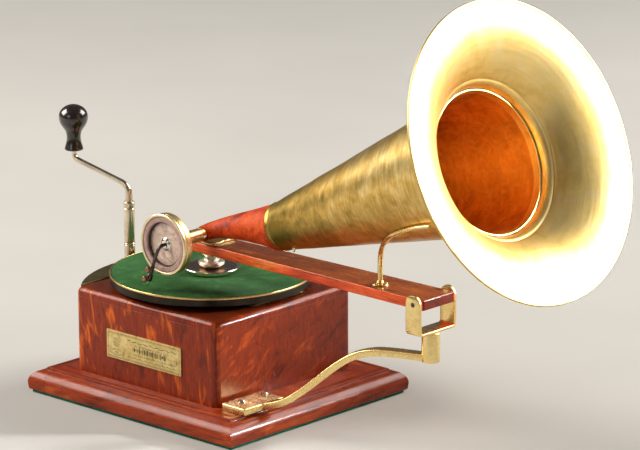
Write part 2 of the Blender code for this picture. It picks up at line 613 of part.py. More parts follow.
def build_soundbox(lift):
    x, y, z = BOX
    face = (-math.pi / 2, 0, 0)

    def put(obj):
        hang(lift, at(obj, x, y, z, face))
        return obj

    cup = [(6.4, 12.0), (25.6, 12.0), (26.6, 11.0), (26.6, 2.9), (24.6, 2.9), (24.6, 9.0), (6.4, 9.0)]
    put(lathe("soundbox_back", cup, "brass", 36))
    ring = [(19.6, 2.6), (19.6, 1.6), (22.0, 0.9), (24.6, 0), (26.2, 0), (BOX_R, 0.8), (BOX_R, 2.6)]
    put(lathe("soundbox_ring", ring, "brass", 36))
    put(lathe("soundbox_gasket", [(18.4, 2.9), (24.2, 2.9), (24.2, 4.1), (18.4, 4.1)], "rubber", 32))
    dome = [(0, 4.4), (24.0, 4.4), (24.0, 4.9), (0, 4.9)]
    put(lathe("diaphragm", dome, "mica", 32, False))
    tube = [(4.9, 9.6), (5.9, 9.6), (5.9, 48.7), (4.9, 48.7)]
    put(lathe("sound_tube", tube, "brass", 24))
    down = Vector((-math.sin(BAR_TILT), 0, -math.cos(BAR_TILT)))
    out = Vector((0, -1, 0))
    centre = Vector(BOX)

    def point(u, v):
        return tuple(centre + down * u + out * v)

    rock = pivot("stylus_axis", *point(24.0, 3.0), lift)
    route = [point(0, -3.9), point(0, -1.0), point(0.8, 1.6), point(2.8, 3.2), point(6.0, 4.1),
             point(11.0, 4.6), point(18.0, 4.8), point(24.0, 4.8), point(29.5, 4.8)]
    bar = wire("stylus_bar", route, [1.6, 1.4] + [1.1] * 7, "steel", 8)
    chuck = block("needle_chuck", (-2.4, -2.2, -3.5), (2.4, 2.2, 3.5), "steel")
    chuck.location = Vector(point(31.5, 4.8)) * MM
    chuck.rotation_euler = (0, BAR_TILT, 0)
    shank = lathe("needle_bore", rod(0.9, -10, 0.5), "steel", 12, False)
    shank.location = Vector(point(31.5, 4.8)) * MM
    shank.rotation_euler = (0, BAR_TILT, 0)
    join(bar, chuck)
    cut(bar, shank)
    tip_u = (z - FELT_TOP - 0.2) / math.cos(BAR_TILT)
    needle = lathe("needle", [(0, 0), (0.1, 0), (0.65, 2.8), (0.65, tip_u - 31.5), (0, tip_u - 31.5)],
                   "steel", 10, False)
    needle.location = Vector(point(tip_u, 4.8)) * MM
    needle.rotation_euler = (0, BAR_TILT, 0)
    hang(rock, bar, chuck, shank, needle)
    head = [(0, 0), (1.1, 0), (1.1, 1.6), (2.3, 2.0), (2.6, 2.6), (2.6, 4.6), (2.1, 5.2), (0, 5.3)]
    for name, u, v, carrier in (("needle_screw", 31.5, 7.3, rock), ("bar_screw", 22.5, 6.2, rock)):
        knob = lathe(name, head, "copper", 14, False)
        knob.location = Vector(point(u, v)) * MM
        knob.rotation_euler = (math.pi / 2, 0, 0)
        axis = pivot(name + "_axis", *point(u, v), carrier)
        hang(axis, knob)


def build_horn(lift):
    lean = (0, math.pi / 2 - HORN_RISE, 0)
    wall = 1.2
    cone = [(CONE_R0, 0.4), (CONE_R1, CONE_L + 3), (CONE_R1 - wall, CONE_L + 3), (CONE_R0 - wall, 0.4)]
    cone = at(lathe("horn_cone", cone, "horn brass", 40), *HORN_FROM, lean)

    neck_r = CONE_R1 + 0.2
    inside = [(neck_r, CONE_L - 4), (neck_r + 0.9, CONE_L + 3), (63.2, 253.2), (CREASE_R, CREASE_L)]
    for i in range(1, 7):
        t = i / 6
        inside.append((CREASE_R + (RIM_R - CREASE_R) * t,
                       CREASE_L + (RIM_L - CREASE_L) * (1 - (1 - t) ** 2.3)))
    outside = [(r + 1.2 - 0.2 * i / len(inside), length - 1.3) for i, (r, length) in enumerate(inside)]
    outside[0] = (neck_r + 1.4, CONE_L - 4)
    rim = [(RIM_R + 1.0, RIM_L + 0.6), (RIM_R + 2.2, RIM_L - 0.6), (RIM_R + 1.8, RIM_L - 2.0)]
    bell = lathe("horn_bell", inside + rim + outside[-2::-1], "horn brass", 48)
    at(bell, *HORN_FROM, lean)

    path = (Vector((BOX[0], -27.0, BOX[2])), Vector((BOX[0], -8.0, BOX[2] + 3.0)),
            Vector((54.0, -13.0, 163.0)), Vector(HORN_FROM))
    count = 9
    steps = [i / count for i in range(count + 1)]
    skins = []
    for inset in (0.0, 0.7):
        layer = []
        for t in steps:
            centre = bezier(path, t)
            heading = (bezier(path, min(t + 0.01, 1)) - bezier(path, max(t - 0.01, 0))).normalized()
            if t == 1:
                heading = Vector((math.cos(HORN_RISE), 0, math.sin(HORN_RISE)))
            across = heading.cross(Vector((0, 0, 1))).normalized()
            up = across.cross(heading)
            r = 6.9 + (CONE_R0 + 0.3 - 6.9) * t ** 1.5 - inset
            layer.append([centre + across * r * math.cos(math.tau * k / 18)
                          + up * r * math.sin(math.tau * k / 18) for k in range(18)])
        skins.append(layer)
    elbow = skin("leather_elbow", skins[0] + skins[1][::-1], "leather", closed=True, smooth=True)
    hang(lift, cone, bell, elbow)


def main():
    clear_scene()
    build_base()
    build_case()
    build_winding()
    build_motor()
    build_turntable()
    build_brake()
    build_bracket()
    lift = build_yoke()
    build_arm(lift)
    build_soundbox(lift)
    build_horn(lift)


main()
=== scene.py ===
# Wind-up phonograph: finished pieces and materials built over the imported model
import json
import math

import bmesh
import bpy
from mathutils import Matrix, Vector, noise


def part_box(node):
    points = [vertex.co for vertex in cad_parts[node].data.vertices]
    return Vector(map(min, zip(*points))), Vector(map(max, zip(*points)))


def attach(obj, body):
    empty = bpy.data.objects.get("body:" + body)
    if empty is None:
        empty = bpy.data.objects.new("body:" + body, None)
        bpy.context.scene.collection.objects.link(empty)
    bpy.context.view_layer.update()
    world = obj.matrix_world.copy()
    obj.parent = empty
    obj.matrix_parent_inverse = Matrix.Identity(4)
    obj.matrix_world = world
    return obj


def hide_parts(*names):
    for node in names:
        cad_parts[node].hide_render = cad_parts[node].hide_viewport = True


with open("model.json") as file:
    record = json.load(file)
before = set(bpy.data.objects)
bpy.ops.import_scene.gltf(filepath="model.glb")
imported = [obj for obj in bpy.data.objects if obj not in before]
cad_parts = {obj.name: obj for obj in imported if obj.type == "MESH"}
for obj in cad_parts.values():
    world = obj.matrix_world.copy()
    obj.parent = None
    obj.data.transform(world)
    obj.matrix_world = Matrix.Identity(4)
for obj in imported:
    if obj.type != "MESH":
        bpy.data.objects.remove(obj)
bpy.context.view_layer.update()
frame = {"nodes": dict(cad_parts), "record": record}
scene = bpy.context.scene
mm = 0.001
print("frame loaded with", len(frame["nodes"]), "nodes")


def jointAt(name):
    row = next(j for j in frame["record"]["behaviour"]["joints"] if j["name"] == name)
    return Vector(row["pos_m"]) / mm


def boxOf(node):
    low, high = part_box(node)
    return low / mm, high / mm


spindleAt = jointAt("turntable_spin")
crankAt = jointAt("crank_turn")
pivotAt = jointAt("arm_lift")
armLow, armHigh = boxOf("arm")
plinthLow, plinthHigh = boxOf("plinth")
boardLow, boardHigh = boxOf("case_top")
ringLow, ringHigh = boxOf("soundbox_ring")
soundboxAt = Vector(((ringLow.x + ringHigh.x) / 2, ringLow.y, (ringLow.z + ringHigh.z) / 2))
hornFoot = Vector((91.5, -13.0, 169.4))
hornRise = math.radians(22.5)


# Camera and light

cameraSet = {"place": (2.3470, -2.3712, 1.0522), "azimuth": 43.16, "elevation": 15.12, "roll": -0.27,
             "lens": 224.1, "sensor": 36.0}


def setCamera(c):
    a, e, r = (math.radians(c[k]) for k in ("azimuth", "elevation", "roll"))
    back = Vector((math.sin(a) * math.cos(e), -math.cos(a) * math.cos(e), math.sin(e)))
    right = Vector((math.cos(a), math.sin(a), 0))
    up = back.cross(right)
    side, top = right * math.cos(r) + up * math.sin(r), up * math.cos(r) - right * math.sin(r)
    data = bpy.data.cameras.new("camera")
    data.lens, data.sensor_width = c["lens"], c["sensor"]
    data.clip_start, data.clip_end = 0.1, 60
    cam = bpy.data.objects.new("camera", data)
    scene.collection.objects.link(cam)
    turn = Matrix((side, top, back)).transposed().to_4x4()
    cam.matrix_world = Matrix.Translation(c["place"]) @ turn
    scene.camera = cam


lightSet = {
    "key": {"at": (-2.0, -1.15, 1.7), "size": (1.8, 1.5), "watts": 105, "colour": (1.0, 0.95, 0.87)},
    "back": {"at": (1.05, 2.05, 1.7), "size": (1.7, 1.4), "watts": 80, "colour": (1.0, 0.96, 0.90)},
    "front": {"at": (0.2, -2.9, 1.3), "size": (1.2, 1.2), "watts": 8, "colour": (1.0, 0.96, 0.90)},
    "side": {"at": (2.9, -0.1, 1.1), "size": (0.9, 1.2), "watts": 4, "colour": (1.0, 0.96, 0.91)},
}
bellLamp = {"at": (1.55, 1.26, 0.80), "aim": (0.346, -0.01, 0.285), "watts": 800, "cone": 10.0, "edge": 0.2,
            "radius": 0.16}


def setLights(lights, aim=(0.05, 0.0, 0.15)):
    for name, l in lights.items():
        data = bpy.data.lights.new(name, "AREA")
        data.shape, data.size, data.size_y = "RECTANGLE", *l["size"]
        data.energy, data.color = l["watts"], l["colour"]
        lamp = bpy.data.objects.new(name, data)
        scene.collection.objects.link(lamp)
        lamp.location = l["at"]
        lamp.rotation_euler = (Vector(aim) - Vector(l["at"])).to_track_quat("-Z", "Y").to_euler()
    b = bellLamp
    data = bpy.data.lights.new("bellLamp", "SPOT")
    data.energy, data.spot_size, data.spot_blend = b["watts"], math.radians(b["cone"]), b["edge"]
    data.shadow_soft_size = b["radius"]
    lamp = bpy.data.objects.new("bellLamp", data)
    scene.collection.objects.link(lamp)
    lamp.location = b["at"]
    lamp.rotation_euler = (Vector(b["aim"]) - Vector(b["at"])).to_track_quat("-Z", "Y").to_euler()
    world = bpy.data.worlds.new("studio")
    world.use_nodes = True
    world.node_tree.nodes["Background"].inputs["Color"].default_value = (0.86, 0.85, 0.83, 1)
    world.node_tree.nodes["Background"].inputs["Strength"].default_value = 0.13
    scene.world = world
    scene.view_settings.view_transform = "Standard"


setCamera(cameraSet)
setLights(lightSet)
print("camera and lights set")


# Node helpers for the materials

def addNode(tree, kind, settings=None, **sockets):
    made = tree.nodes.new(kind)
    for key, value in (settings or {}).items():
        setattr(made, key, value)
    for key, value in sockets.items():
        socket = made.inputs[key.replace("_", " ")]
        if isinstance(value, bpy.types.NodeSocket):
            tree.links.new(value, socket)
        else:
            socket.default_value = value
    return made


def mathOf(tree, operation, a, b=0.0, clamp=False):
    made = tree.nodes.new("ShaderNodeMath")
    made.operation, made.use_clamp = operation, clamp
    for socket, value in zip(made.inputs, (a, b)):
        if isinstance(value, bpy.types.NodeSocket):
            tree.links.new(value, socket)
        else:
            socket.default_value = value
    return made.outputs[0]


def mixOf(tree, amount, a, b, blend="MIX"):
    made = tree.nodes.new("ShaderNodeMix")
    made.data_type, made.blend_type = "RGBA", blend
    for index, value in ((0, amount), (6, a), (7, b)):
        if isinstance(value, bpy.types.NodeSocket):
            tree.links.new(value, made.inputs[index])
        else:
            made.inputs[index].default_value = value if index == 0 else (*value, 1.0)
    return made.outputs[2]


def rampOf(tree, amount, *stops):
    made = tree.nodes.new("ShaderNodeValToRGB")
    tree.links.new(amount, made.inputs[0])
    ramp = made.color_ramp
    while len(ramp.elements) < len(stops):
        ramp.elements.new(0.5)
    for element, (place, colour) in zip(ramp.elements, stops):
        element.position = place
        element.color = (*colour, 1.0) if hasattr(colour, "__len__") else (colour, colour, colour, 1.0)
    return made.outputs[0]


def noiseOf(tree, place, scale, detail=3.0, rough=0.5, warp=0.0):
    return addNode(tree, "ShaderNodeTexNoise", None, Vector=place, Scale=scale, Detail=detail,
                   Roughness=rough, Distortion=warp).outputs["Fac"]


def objectPlace(tree, stretch=(1, 1, 1), turn=(0, 0, 0), shift=(0, 0, 0)):
    coords = tree.nodes.new("ShaderNodeTexCoord").outputs["Object"]
    return addNode(tree, "ShaderNodeMapping", None, Vector=coords, Location=shift, Rotation=turn,
                   Scale=stretch).outputs[0]


def cloudOf(tree, cycles, detail=3.0, rough=0.5, warp=0.0, shift=(0, 0, 0)):
    # noise through the solid, in cycles per metre along X, Y and Z
    stretch = cycles if hasattr(cycles, "__len__") else (cycles,) * 3
    return noiseOf(tree, objectPlace(tree, stretch, shift=shift), 1.0, detail, rough, warp)


def timesOf(tree, a, b):
    return mathOf(tree, "MULTIPLY", a, b)


def plusOf(tree, a, b):
    return mathOf(tree, "ADD", a, b)


def shadeOf(tree, amount, colour, *stops):
    # darkens a colour by a grey ramp
    return mixOf(tree, amount, colour, rampOf(tree, *stops), "MULTIPLY")


def coatShader(tree, shader, colour, rough, height, depth, strength):
    tree.links.new(colour, shader.inputs["Base Color"])
    if rough is not None:
        tree.links.new(rough, shader.inputs["Roughness"])
    bump = addNode(tree, "ShaderNodeBump", None, Height=height, Distance=depth * mm, Strength=strength)
    tree.links.new(bump.outputs[0], shader.inputs["Normal"])


def startFinish(name, **constants):
    made = bpy.data.materials.new(name)
    made.use_nodes = True
    shader = made.node_tree.nodes["Principled BSDF"]
    for key, value in constants.items():
        shader.inputs[key.replace("_", " ")].default_value = value
    return made, made.node_tree, shader


# Finishes

def mahogany(name, dark, mid, light, figure, pores, gloss=0.26, seed=0.0, joint=None, lean=0.0):
    # figure and pores are noise cycles per metre along X, Y and Z; the long way of the pores is the grain
    made, tree, shader = startFinish(name, Coat_Weight=0.13, Coat_Roughness=0.15, Coat_IOR=1.5,
                                     Specular_IOR_Level=0.18)
    leaning = addNode(tree, "ShaderNodeMapping", None, Vector=objectPlace(tree, turn=(lean, 0.14, 0.0)),
                      Scale=figure, Location=(seed, seed * 0.7, 0)).outputs[0]
    flame = noiseOf(tree, leaning, 1.0, 3.0, 0.55, 0.9)
    cloud = cloudOf(tree, 19, 2.0, 0.5, 0.3, (seed, 0, seed))
    grain = cloudOf(tree, pores, 4.0, 0.65, 0.15)
    vessel = cloudOf(tree, [2.6 * p for p in pores], 2.0)
    tone = plusOf(tree, timesOf(tree, flame, 0.66), timesOf(tree, cloud, 0.34))
    colour = rampOf(tree, tone, (0.34, dark), (0.46, mid), (0.56, mid), (0.66, light))
    colour = shadeOf(tree, 1.0, colour, grain, (0.36, 0.62), (0.58, 1.0))
    pit = rampOf(tree, vessel, (0.30, 0.0), (0.40, 1.0))
    colour = mixOf(tree, 0.55, colour, mixOf(tree, 1.0, colour, pit, "MULTIPLY"))
    height = plusOf(tree, timesOf(tree, pit, 0.7), grain)
    if joint is not None:  # a dark seam where two lengths of moulding meet
        across = addNode(tree, "ShaderNodeSeparateXYZ", None, Vector=objectPlace(tree)).outputs[0]
        off = mathOf(tree, "ABSOLUTE", mathOf(tree, "SUBTRACT", across, joint * mm))
        seam = rampOf(tree, timesOf(tree, off, 1000.0), (0.16, 0.0), (0.40, 1.0))
        colour = mixOf(tree, 1.0, colour, mixOf(tree, 0.85, (1.0, 1.0, 1.0), seam), "MULTIPLY")
        height = plusOf(tree, height, timesOf(tree, seam, 4.0))
    rough = rampOf(tree, cloudOf(tree, 34), (0.3, gloss * 0.8), (0.75, gloss * 1.6))
    coatShader(tree, shader, colour, rough, height, 0.05, 0.5)
    return made


def feltCloth(name, deep, mid, pale, fleck):
    made, tree, shader = startFinish(name, Roughness=0.98, Sheen_Weight=0.05, Sheen_Roughness=0.6,
                                     Specular_IOR_Level=0.08)
    cloud = cloudOf(tree, 60, 4.0, 0.6, 0.6)
    fibre = cloudOf(tree, (900, 520, 700), 4.0, 0.7, 1.4)
    nap = cloudOf(tree, 2600, 3.0, 0.7)
    colour = rampOf(tree, cloud, (0.32, deep), (0.55, mid), (0.78, pale))
    colour = shadeOf(tree, 0.9, colour, fibre, (0.34, 0.40), (0.64, 1.15))
    colour = mixOf(tree, rampOf(tree, nap, (0.60, 0.0), (0.80, fleck)), colour, pale)
    coatShader(tree, shader, colour, None, plusOf(tree, fibre, nap), 0.25, 0.6)
    return made


def castMetal(name, clean, stained, rough, stain=0.5, bump=0.25):
    made, tree, shader = startFinish(name, Metallic=1.0)
    cloud = cloudOf(tree, 38, 5.0, 0.62, 0.8)
    fine = cloudOf(tree, 420, 3.0, 0.6)
    drag = cloudOf(tree, 1320, 3.0, 0.6)
    half = tuple(c + (s - c) * stain for c, s in zip(clean, stained))
    tint = rampOf(tree, cloud, (0.36, clean), (0.62, half), (0.80, stained))
    tint = shadeOf(tree, 0.35, tint, fine, (0.35, 0.62), (0.60, 1.0))
    blur = plusOf(tree, timesOf(tree, cloud, rough * 0.9), timesOf(tree, drag, rough * 0.9))
    coatShader(tree, shader, tint, plusOf(tree, blur, rough * 0.15),
               plusOf(tree, timesOf(tree, fine, 0.4), drag),
               0.02, bump)
    return made


def hornMetal(name, clean, warm, olive, rough, streak, dents, tarnishFrom=0.0, swirl=0.0):
    # the map runs round the horn in turns and along it in metres
    made, tree, shader = startFinish(name, Metallic=1.0)
    coords = addNode(tree, "ShaderNodeUVMap", {"uv_map": "map"}).outputs[0]
    round_, along = addNode(tree, "ShaderNodeSeparateXYZ", None, Vector=coords).outputs[:2]
    slant = plusOf(tree, along, timesOf(tree, round_, 0.028))

    def drawn(turns, lengths, *settings):
        place = addNode(tree, "ShaderNodeCombineXYZ", None, X=timesOf(tree, round_, turns),
                        Y=timesOf(tree, slant, lengths)).outputs[0]
        return noiseOf(tree, place, 1.0, *settings)

    drag, hair = drawn(15.0, 430.0, 4.0, 0.6, 0.5), drawn(46.0, 2100.0, 3.0, 0.6)
    cloud = cloudOf(tree, 17, 5.0, 0.62, 1.0 + swirl)
    spot = cloudOf(tree, 85, 4.0, 0.6, 0.6 + swirl)
    stain = plusOf(tree, timesOf(tree, cloud, 0.6), timesOf(tree, spot, 0.4))
    if tarnishFrom:
        foot = mathOf(tree, "SUBTRACT", 1.0, mathOf(tree, "DIVIDE", along, tarnishFrom), True)
        stain = plusOf(tree, stain, timesOf(tree, foot, 0.22))
    tint = rampOf(tree, stain, (0.36, clean), (0.52, warm), (0.68, olive))
    tint = shadeOf(tree, streak, tint, drag, (0.34, 0.45), (0.62, 1.0))
    tint = shadeOf(tree, streak * 0.5, tint, hair, (0.36, 0.6), (0.55, 1.0))
    blur = plusOf(tree, rough * 0.55, timesOf(tree, plusOf(tree, drag, stain), rough * 0.5))
    height = plusOf(tree, timesOf(tree, cloudOf(tree, 34, 2.0, 0.5, 0.4), dents),
                    timesOf(tree, drag, streak * 0.16))
    height = plusOf(tree, height, timesOf(tree, hair, streak * 0.04))
    coatShader(tree, shader, tint, blur, height, 0.7, 0.55)
    return made


def elbowLeather(name):
    made, tree, shader = startFinish(name, Specular_IOR_Level=0.25)
    cloud = cloudOf(tree, 45, 4.0, 0.6, 0.8)
    pebble = addNode(tree, "ShaderNodeTexVoronoi", {"feature": "DISTANCE_TO_EDGE"},
                     Vector=objectPlace(tree, (1000, 1000, 1000)), Scale=1.0,
                     Randomness=1.0).outputs["Distance"]
    crease = cloudOf(tree, (330, 120, 210), 4.0, 0.65, 1.6)
    colour = rampOf(tree, cloud, (0.30, (0.26, 0.020, 0.003)), (0.50, (0.66, 0.060, 0.006)),
                    (0.75, (0.86, 0.140, 0.012)))
    colour = shadeOf(tree, 0.8, colour, crease, (0.32, 0.38), (0.52, 1.0))
    rubbed = rampOf(tree, cloudOf(tree, 150, 3.0, 0.6), (0.62, 0.0), (0.82, 0.5))
    colour = mixOf(tree, rubbed, colour, (0.90, 0.30, 0.09))
    cell = rampOf(tree, pebble, (0.0, 0.0), (0.22, 1.0))
    coatShader(tree, shader, colour, rampOf(tree, cloud, (0.3, 0.36), (0.7, 0.58)),
               plusOf(tree, timesOf(tree, cell, 0.35), crease), 0.35, 0.6)
    return made


def turnedEbony(name):
    made, tree, shader = startFinish(name, Coat_Weight=0.8, Coat_Roughness=0.05)
    grain = cloudOf(tree, (420, 420, 60), 4.0, 0.6, 0.4)
    worn = cloudOf(tree, 90, 3.0, 0.6, 0.5)
    colour = rampOf(tree, grain, (0.35, (0.006, 0.004, 0.003)), (0.70, (0.030, 0.015, 0.009)))
    colour = mixOf(tree, rampOf(tree, worn, (0.62, 0.0), (0.80, 0.7)), colour, (0.075, 0.028, 0.012))
    coatShader(tree, shader, colour, rampOf(tree, worn, (0.3, 0.16), (0.8, 0.38)), grain, 0.03, 0.4)
    return made


def micaSheet(name):
    made, tree, shader = startFinish(name, Coat_Weight=0.7, Coat_Roughness=0.04, Specular_IOR_Level=0.6)
    layer = cloudOf(tree, 70, 5.0, 0.65, 1.8)
    flake = cloudOf(tree, 600, 2.0)
    colour = rampOf(tree, layer, (0.30, (0.40, 0.25, 0.19)), (0.55, (0.72, 0.52, 0.41)),
                    (0.80, (0.86, 0.71, 0.60)))
    colour = mixOf(tree, rampOf(tree, flake, (0.62, 0.0), (0.70, 0.5)), colour, (0.93, 0.80, 0.66))
    coatShader(tree, shader, colour, rampOf(tree, layer, (0.3, 0.12), (0.7, 0.34)), layer, 0.06, 0.35)
    return made


def softRubber(name, dark, pale):
    made, tree, shader = startFinish(name, Specular_IOR_Level=0.35)
    mottle = cloudOf(tree, 240, 4.0, 0.6, 0.4)
    dust = cloudOf(tree, 1500, 2.0)
    colour = rampOf(tree, mottle, (0.32, dark), (0.70, pale))
    colour = shadeOf(tree, 0.4, colour, dust, (0.35, 0.65), (0.6, 1.0))
    coatShader(tree, shader, colour, rampOf(tree, mottle, (0.3, 0.55), (0.7, 0.75)), dust, 0.04, 0.5)
    return made


def plateBrass(name):
    made, tree, shader = startFinish(name, Metallic=0.85)
    cloud = cloudOf(tree, 130, 5.0, 0.68, 0.9)
    speck = cloudOf(tree, 900, 3.0, 0.6)
    drag = cloudOf(tree, (160, 160, 3400), 2.0)
    colour = rampOf(tree, cloud, (0.34, (0.92, 0.74, 0.34)), (0.56, (0.78, 0.58, 0.22)),
                    (0.74, (0.40, 0.26, 0.08)))
    colour = mixOf(tree, rampOf(tree, speck, (0.62, 0.0), (0.74, 0.7)), colour, (0.16, 0.11, 0.04))
    coatShader(tree, shader, colour, rampOf(tree, drag, (0.3, 0.30), (0.7, 0.46)), plusOf(tree, drag, speck),
               0.03, 0.35)
    return made


def paleFloor(name):
    made, tree, shader = startFinish(name, Specular_IOR_Level=0.2, Roughness=0.8)
    colour = rampOf(tree, cloudOf(tree, 3, 2.0), (0.3, (0.50, 0.49, 0.47)), (0.7, (0.54, 0.53, 0.51)))
    tree.links.new(colour, shader.inputs["Base Color"])
    return made


deepRed, caseRed, flameOrange = (0.120, 0.012, 0.0035), (0.295, 0.032, 0.0060), (0.84, 0.150, 0.010)
finishes = {
    "caseFrontWood": mahogany("caseFrontWood", deepRed, caseRed, flameOrange, (110, 60, 30), (700, 700, 60)),
    # the side walls take their own figure and a darker copy of the front wood's colours; the darker tone is
    # painted shade on the X-facing sides
    "caseSideWoodShaded": mahogany("caseSideWoodShaded", (0.105, 0.011, 0.0035), (0.235, 0.028, 0.0055),
                             (0.46, 0.068, 0.008), (60, 42, 150), (700, 700, 60), seed=0.31, lean=-0.6),
    "boardWood": mahogany("boardWood", (0.070, 0.011, 0.004), (0.170, 0.025, 0.006), (0.28, 0.048, 0.010),
                          (20, 70, 60), (60, 800, 800)),
    "plinthWoodX": mahogany("plinthWoodX", (0.13, 0.014, 0.004), (0.34, 0.040, 0.007), (0.56, 0.09, 0.011),
                            (16, 80, 80), (50, 800, 800), 0.30, joint=-104.0),
    # the runs along Y have their grain that way and a darker tone; the darker tone is painted shade on the
    # X-facing sides
    "plinthWoodYShaded": mahogany("plinthWoodYShaded", (0.11, 0.012, 0.004), (0.26, 0.032, 0.007), (0.44, 0.07, 0.011),
                            (80, 16, 80), (800, 50, 800), 0.30, 0.4),
    "armWood": mahogany("armWood", (0.50, 0.048, 0.010), (0.92, 0.125, 0.026), (0.98, 0.24, 0.045),
                        (12, 90, 90), (40, 900, 900), 0.24),
    # the arm top is a darker, browner copy of the arm wood: painted shade on the top face
    "armTopWoodShaded": mahogany("armTopWoodShaded", (0.09, 0.014, 0.004), (0.24, 0.055, 0.012), (0.38, 0.115, 0.022),
                           (12, 90, 90), (40, 900, 900), 0.24, 0.2),
    "turntableFelt": feltCloth("turntableFelt", (0.012, 0.085, 0.014), (0.024, 0.135, 0.024),
                               (0.060, 0.220, 0.045), 0.5),
    "baseFelt": feltCloth("baseFelt", (0.002, 0.085, 0.045), (0.004, 0.150, 0.085), (0.012, 0.23, 0.13), 0.3),
    "brass": castMetal("brass", (0.98, 0.75, 0.32), (0.76, 0.48, 0.14), 0.24, 0.30, bump=0.15),
    "wornBrass": castMetal("wornBrass", (0.88, 0.62, 0.25), (0.40, 0.25, 0.08), 0.26, 0.5),
    "nutNickel": castMetal("nutNickel", (0.96, 0.90, 0.78), (0.76, 0.62, 0.42), 0.34, 0.4),
    "boxBrass": castMetal("boxBrass", (0.95, 0.72, 0.34), (0.66, 0.40, 0.12), 0.34, 0.4),
    "boxRim": castMetal("boxRim", (0.98, 0.84, 0.56), (0.80, 0.58, 0.26), 0.36, 0.4),
    # the arm's end faces: dark end grain, darkened further with painted shade
    "armEndWoodShaded": mahogany("armEndWoodShaded", (0.05, 0.008, 0.004), (0.13, 0.016, 0.006), (0.24, 0.03, 0.01),
                           (90, 90, 90), (900, 900, 900), 0.24),
    # near-black metal for the platter's lower rim side and underside: painted shade and painted dark
    # reflection on the brass
    "rimPaintedShade": castMetal("rimPaintedShade", (0.050, 0.040, 0.030), (0.022, 0.015, 0.010), 0.40, 0.5),
    "hornOutside": hornMetal("hornOutside", (0.98, 0.74, 0.30), (0.76, 0.48, 0.12), (0.36, 0.25, 0.05), 0.32,
                             0.5, 0.42, 0.10),
    "hornInside": hornMetal("hornInside", (0.86, 0.44, 0.10), (0.68, 0.30, 0.055), (0.40, 0.155, 0.030), 0.42,
                            0.25, 0.2, 0.0, 1.4),
    "bellFace": hornMetal("bellFace", (0.95, 0.74, 0.34), (0.90, 0.65, 0.23), (0.72, 0.50, 0.14), 0.37, 0.12,
                          0.10),
    "bellBack": hornMetal("bellBack", (0.86, 0.62, 0.21), (0.66, 0.43, 0.11), (0.40, 0.29, 0.07), 0.34, 0.4,
                          0.2),
    "bronze": castMetal("bronze", (0.26, 0.20, 0.08), (0.10, 0.085, 0.035), 0.42, 0.6),
    "nickel": castMetal("nickel", (0.88, 0.84, 0.75), (0.62, 0.50, 0.35), 0.15, 0.45),
    "crankNickel": castMetal("crankNickel", (0.90, 0.78, 0.60), (0.50, 0.34, 0.20), 0.22, 0.6),
    # the clamp disc's dished top: nickel tinted dark brown, a painted reflection of the arm above it
    "clampTopPaintedReflection": castMetal("clampTopPaintedReflection", (0.44, 0.32, 0.25), (0.25, 0.16, 0.11), 0.26, 0.6),
    "movementSteel": castMetal("movementSteel", (0.50, 0.50, 0.50), (0.24, 0.20, 0.16), 0.36, 0.5),
    "movementBrass": castMetal("movementBrass", (0.80, 0.58, 0.24), (0.48, 0.30, 0.10), 0.30, 0.5),
    "copper": castMetal("copper", (0.44, 0.21, 0.13), (0.16, 0.07, 0.045), 0.30, 0.6),
    "darkSteel": castMetal("darkSteel", (0.12, 0.10, 0.09), (0.05, 0.035, 0.03), 0.30, 0.6),
    "leather": elbowLeather("leather"),
    "ebony": turnedEbony("ebony"),
    "mica": micaSheet("mica"),
    "bandRubber": softRubber("bandRubber", (0.36, 0.22, 0.19), (0.62, 0.42, 0.36)),
    "gasketRubber": softRubber("gasketRubber", (0.030, 0.018, 0.015), (0.10, 0.06, 0.05)),
    "engraving": softRubber("engraving", (0.035, 0.022, 0.010), (0.14, 0.09, 0.035)),
    "thread": softRubber("thread", (0.16, 0.05, 0.02), (0.34, 0.13, 0.05)),
    "namePlate": plateBrass("namePlate"),
    "floor": paleFloor("floor"),
}
print(len(finishes), "finishes mixed")


# Shape helpers, all sizes in millimetres

def blankMesh():
    bm = bmesh.new()
    return bm, bm.loops.layers.uv.new("map")


def boxMap(bm):
    layer = bm.loops.layers.uv.verify() if "map" not in bm.loops.layers.uv else bm.loops.layers.uv["map"]
    for face in bm.faces:
        n = [abs(c) for c in face.normal]
        for loop in face.loops:
            x, y, z = loop.vert.co
            loop[layer].uv = (x, y) if n[2] >= max(n[0], n[1]) else ((x, z) if n[1] >= n[0] else (y, z))


def addPiece(name, bm, *coats, crease=40.0):
    bmesh.ops.remove_doubles(bm, verts=bm.verts, dist=2e-7)
    bmesh.ops.recalc_face_normals(bm, faces=bm.faces)
    mesh = bpy.data.meshes.new(name)
    bm.to_mesh(mesh)
    bm.free()
    for coat in coats:
        mesh.materials.append(finishes[coat])
    mesh.shade_smooth()
    mesh.set_sharp_from_angle(angle=math.radians(crease))
    piece = bpy.data.objects.new(name, mesh)
    scene.collection.objects.link(piece)
    return piece


def settle(piece, body, slotName, *nodes):
    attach(piece, body)
    if nodes:
        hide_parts(*nodes)
    return piece


def softened(points, radius, closed=True, steps=3):
    # each corner of an outline becomes a small arc; a third value is that corner's own radius
    out = []
    for i, point in enumerate(points):
        here = Vector(point[:2])
        if not closed and i in (0, len(points) - 1):
            out.append(tuple(here))
            continue
        before, after = Vector(points[i - 1][:2]), Vector(points[(i + 1) % len(points)][:2])
        a, b = before - here, after - here
        reach = min(point[2] if len(point) > 2 else radius, a.length * 0.45, b.length * 0.45)
        if reach < 0.03 or a.angle(b) > math.radians(172):
            out.append(tuple(here))
            continue
        start, end = here + a.normalized() * reach, here + b.normalized() * reach
        for s in range(steps + 1):
            t = s / steps
            out.append(tuple(start * (1 - t) ** 2 + here * 2 * t * (1 - t) + end * t * t))
    return out


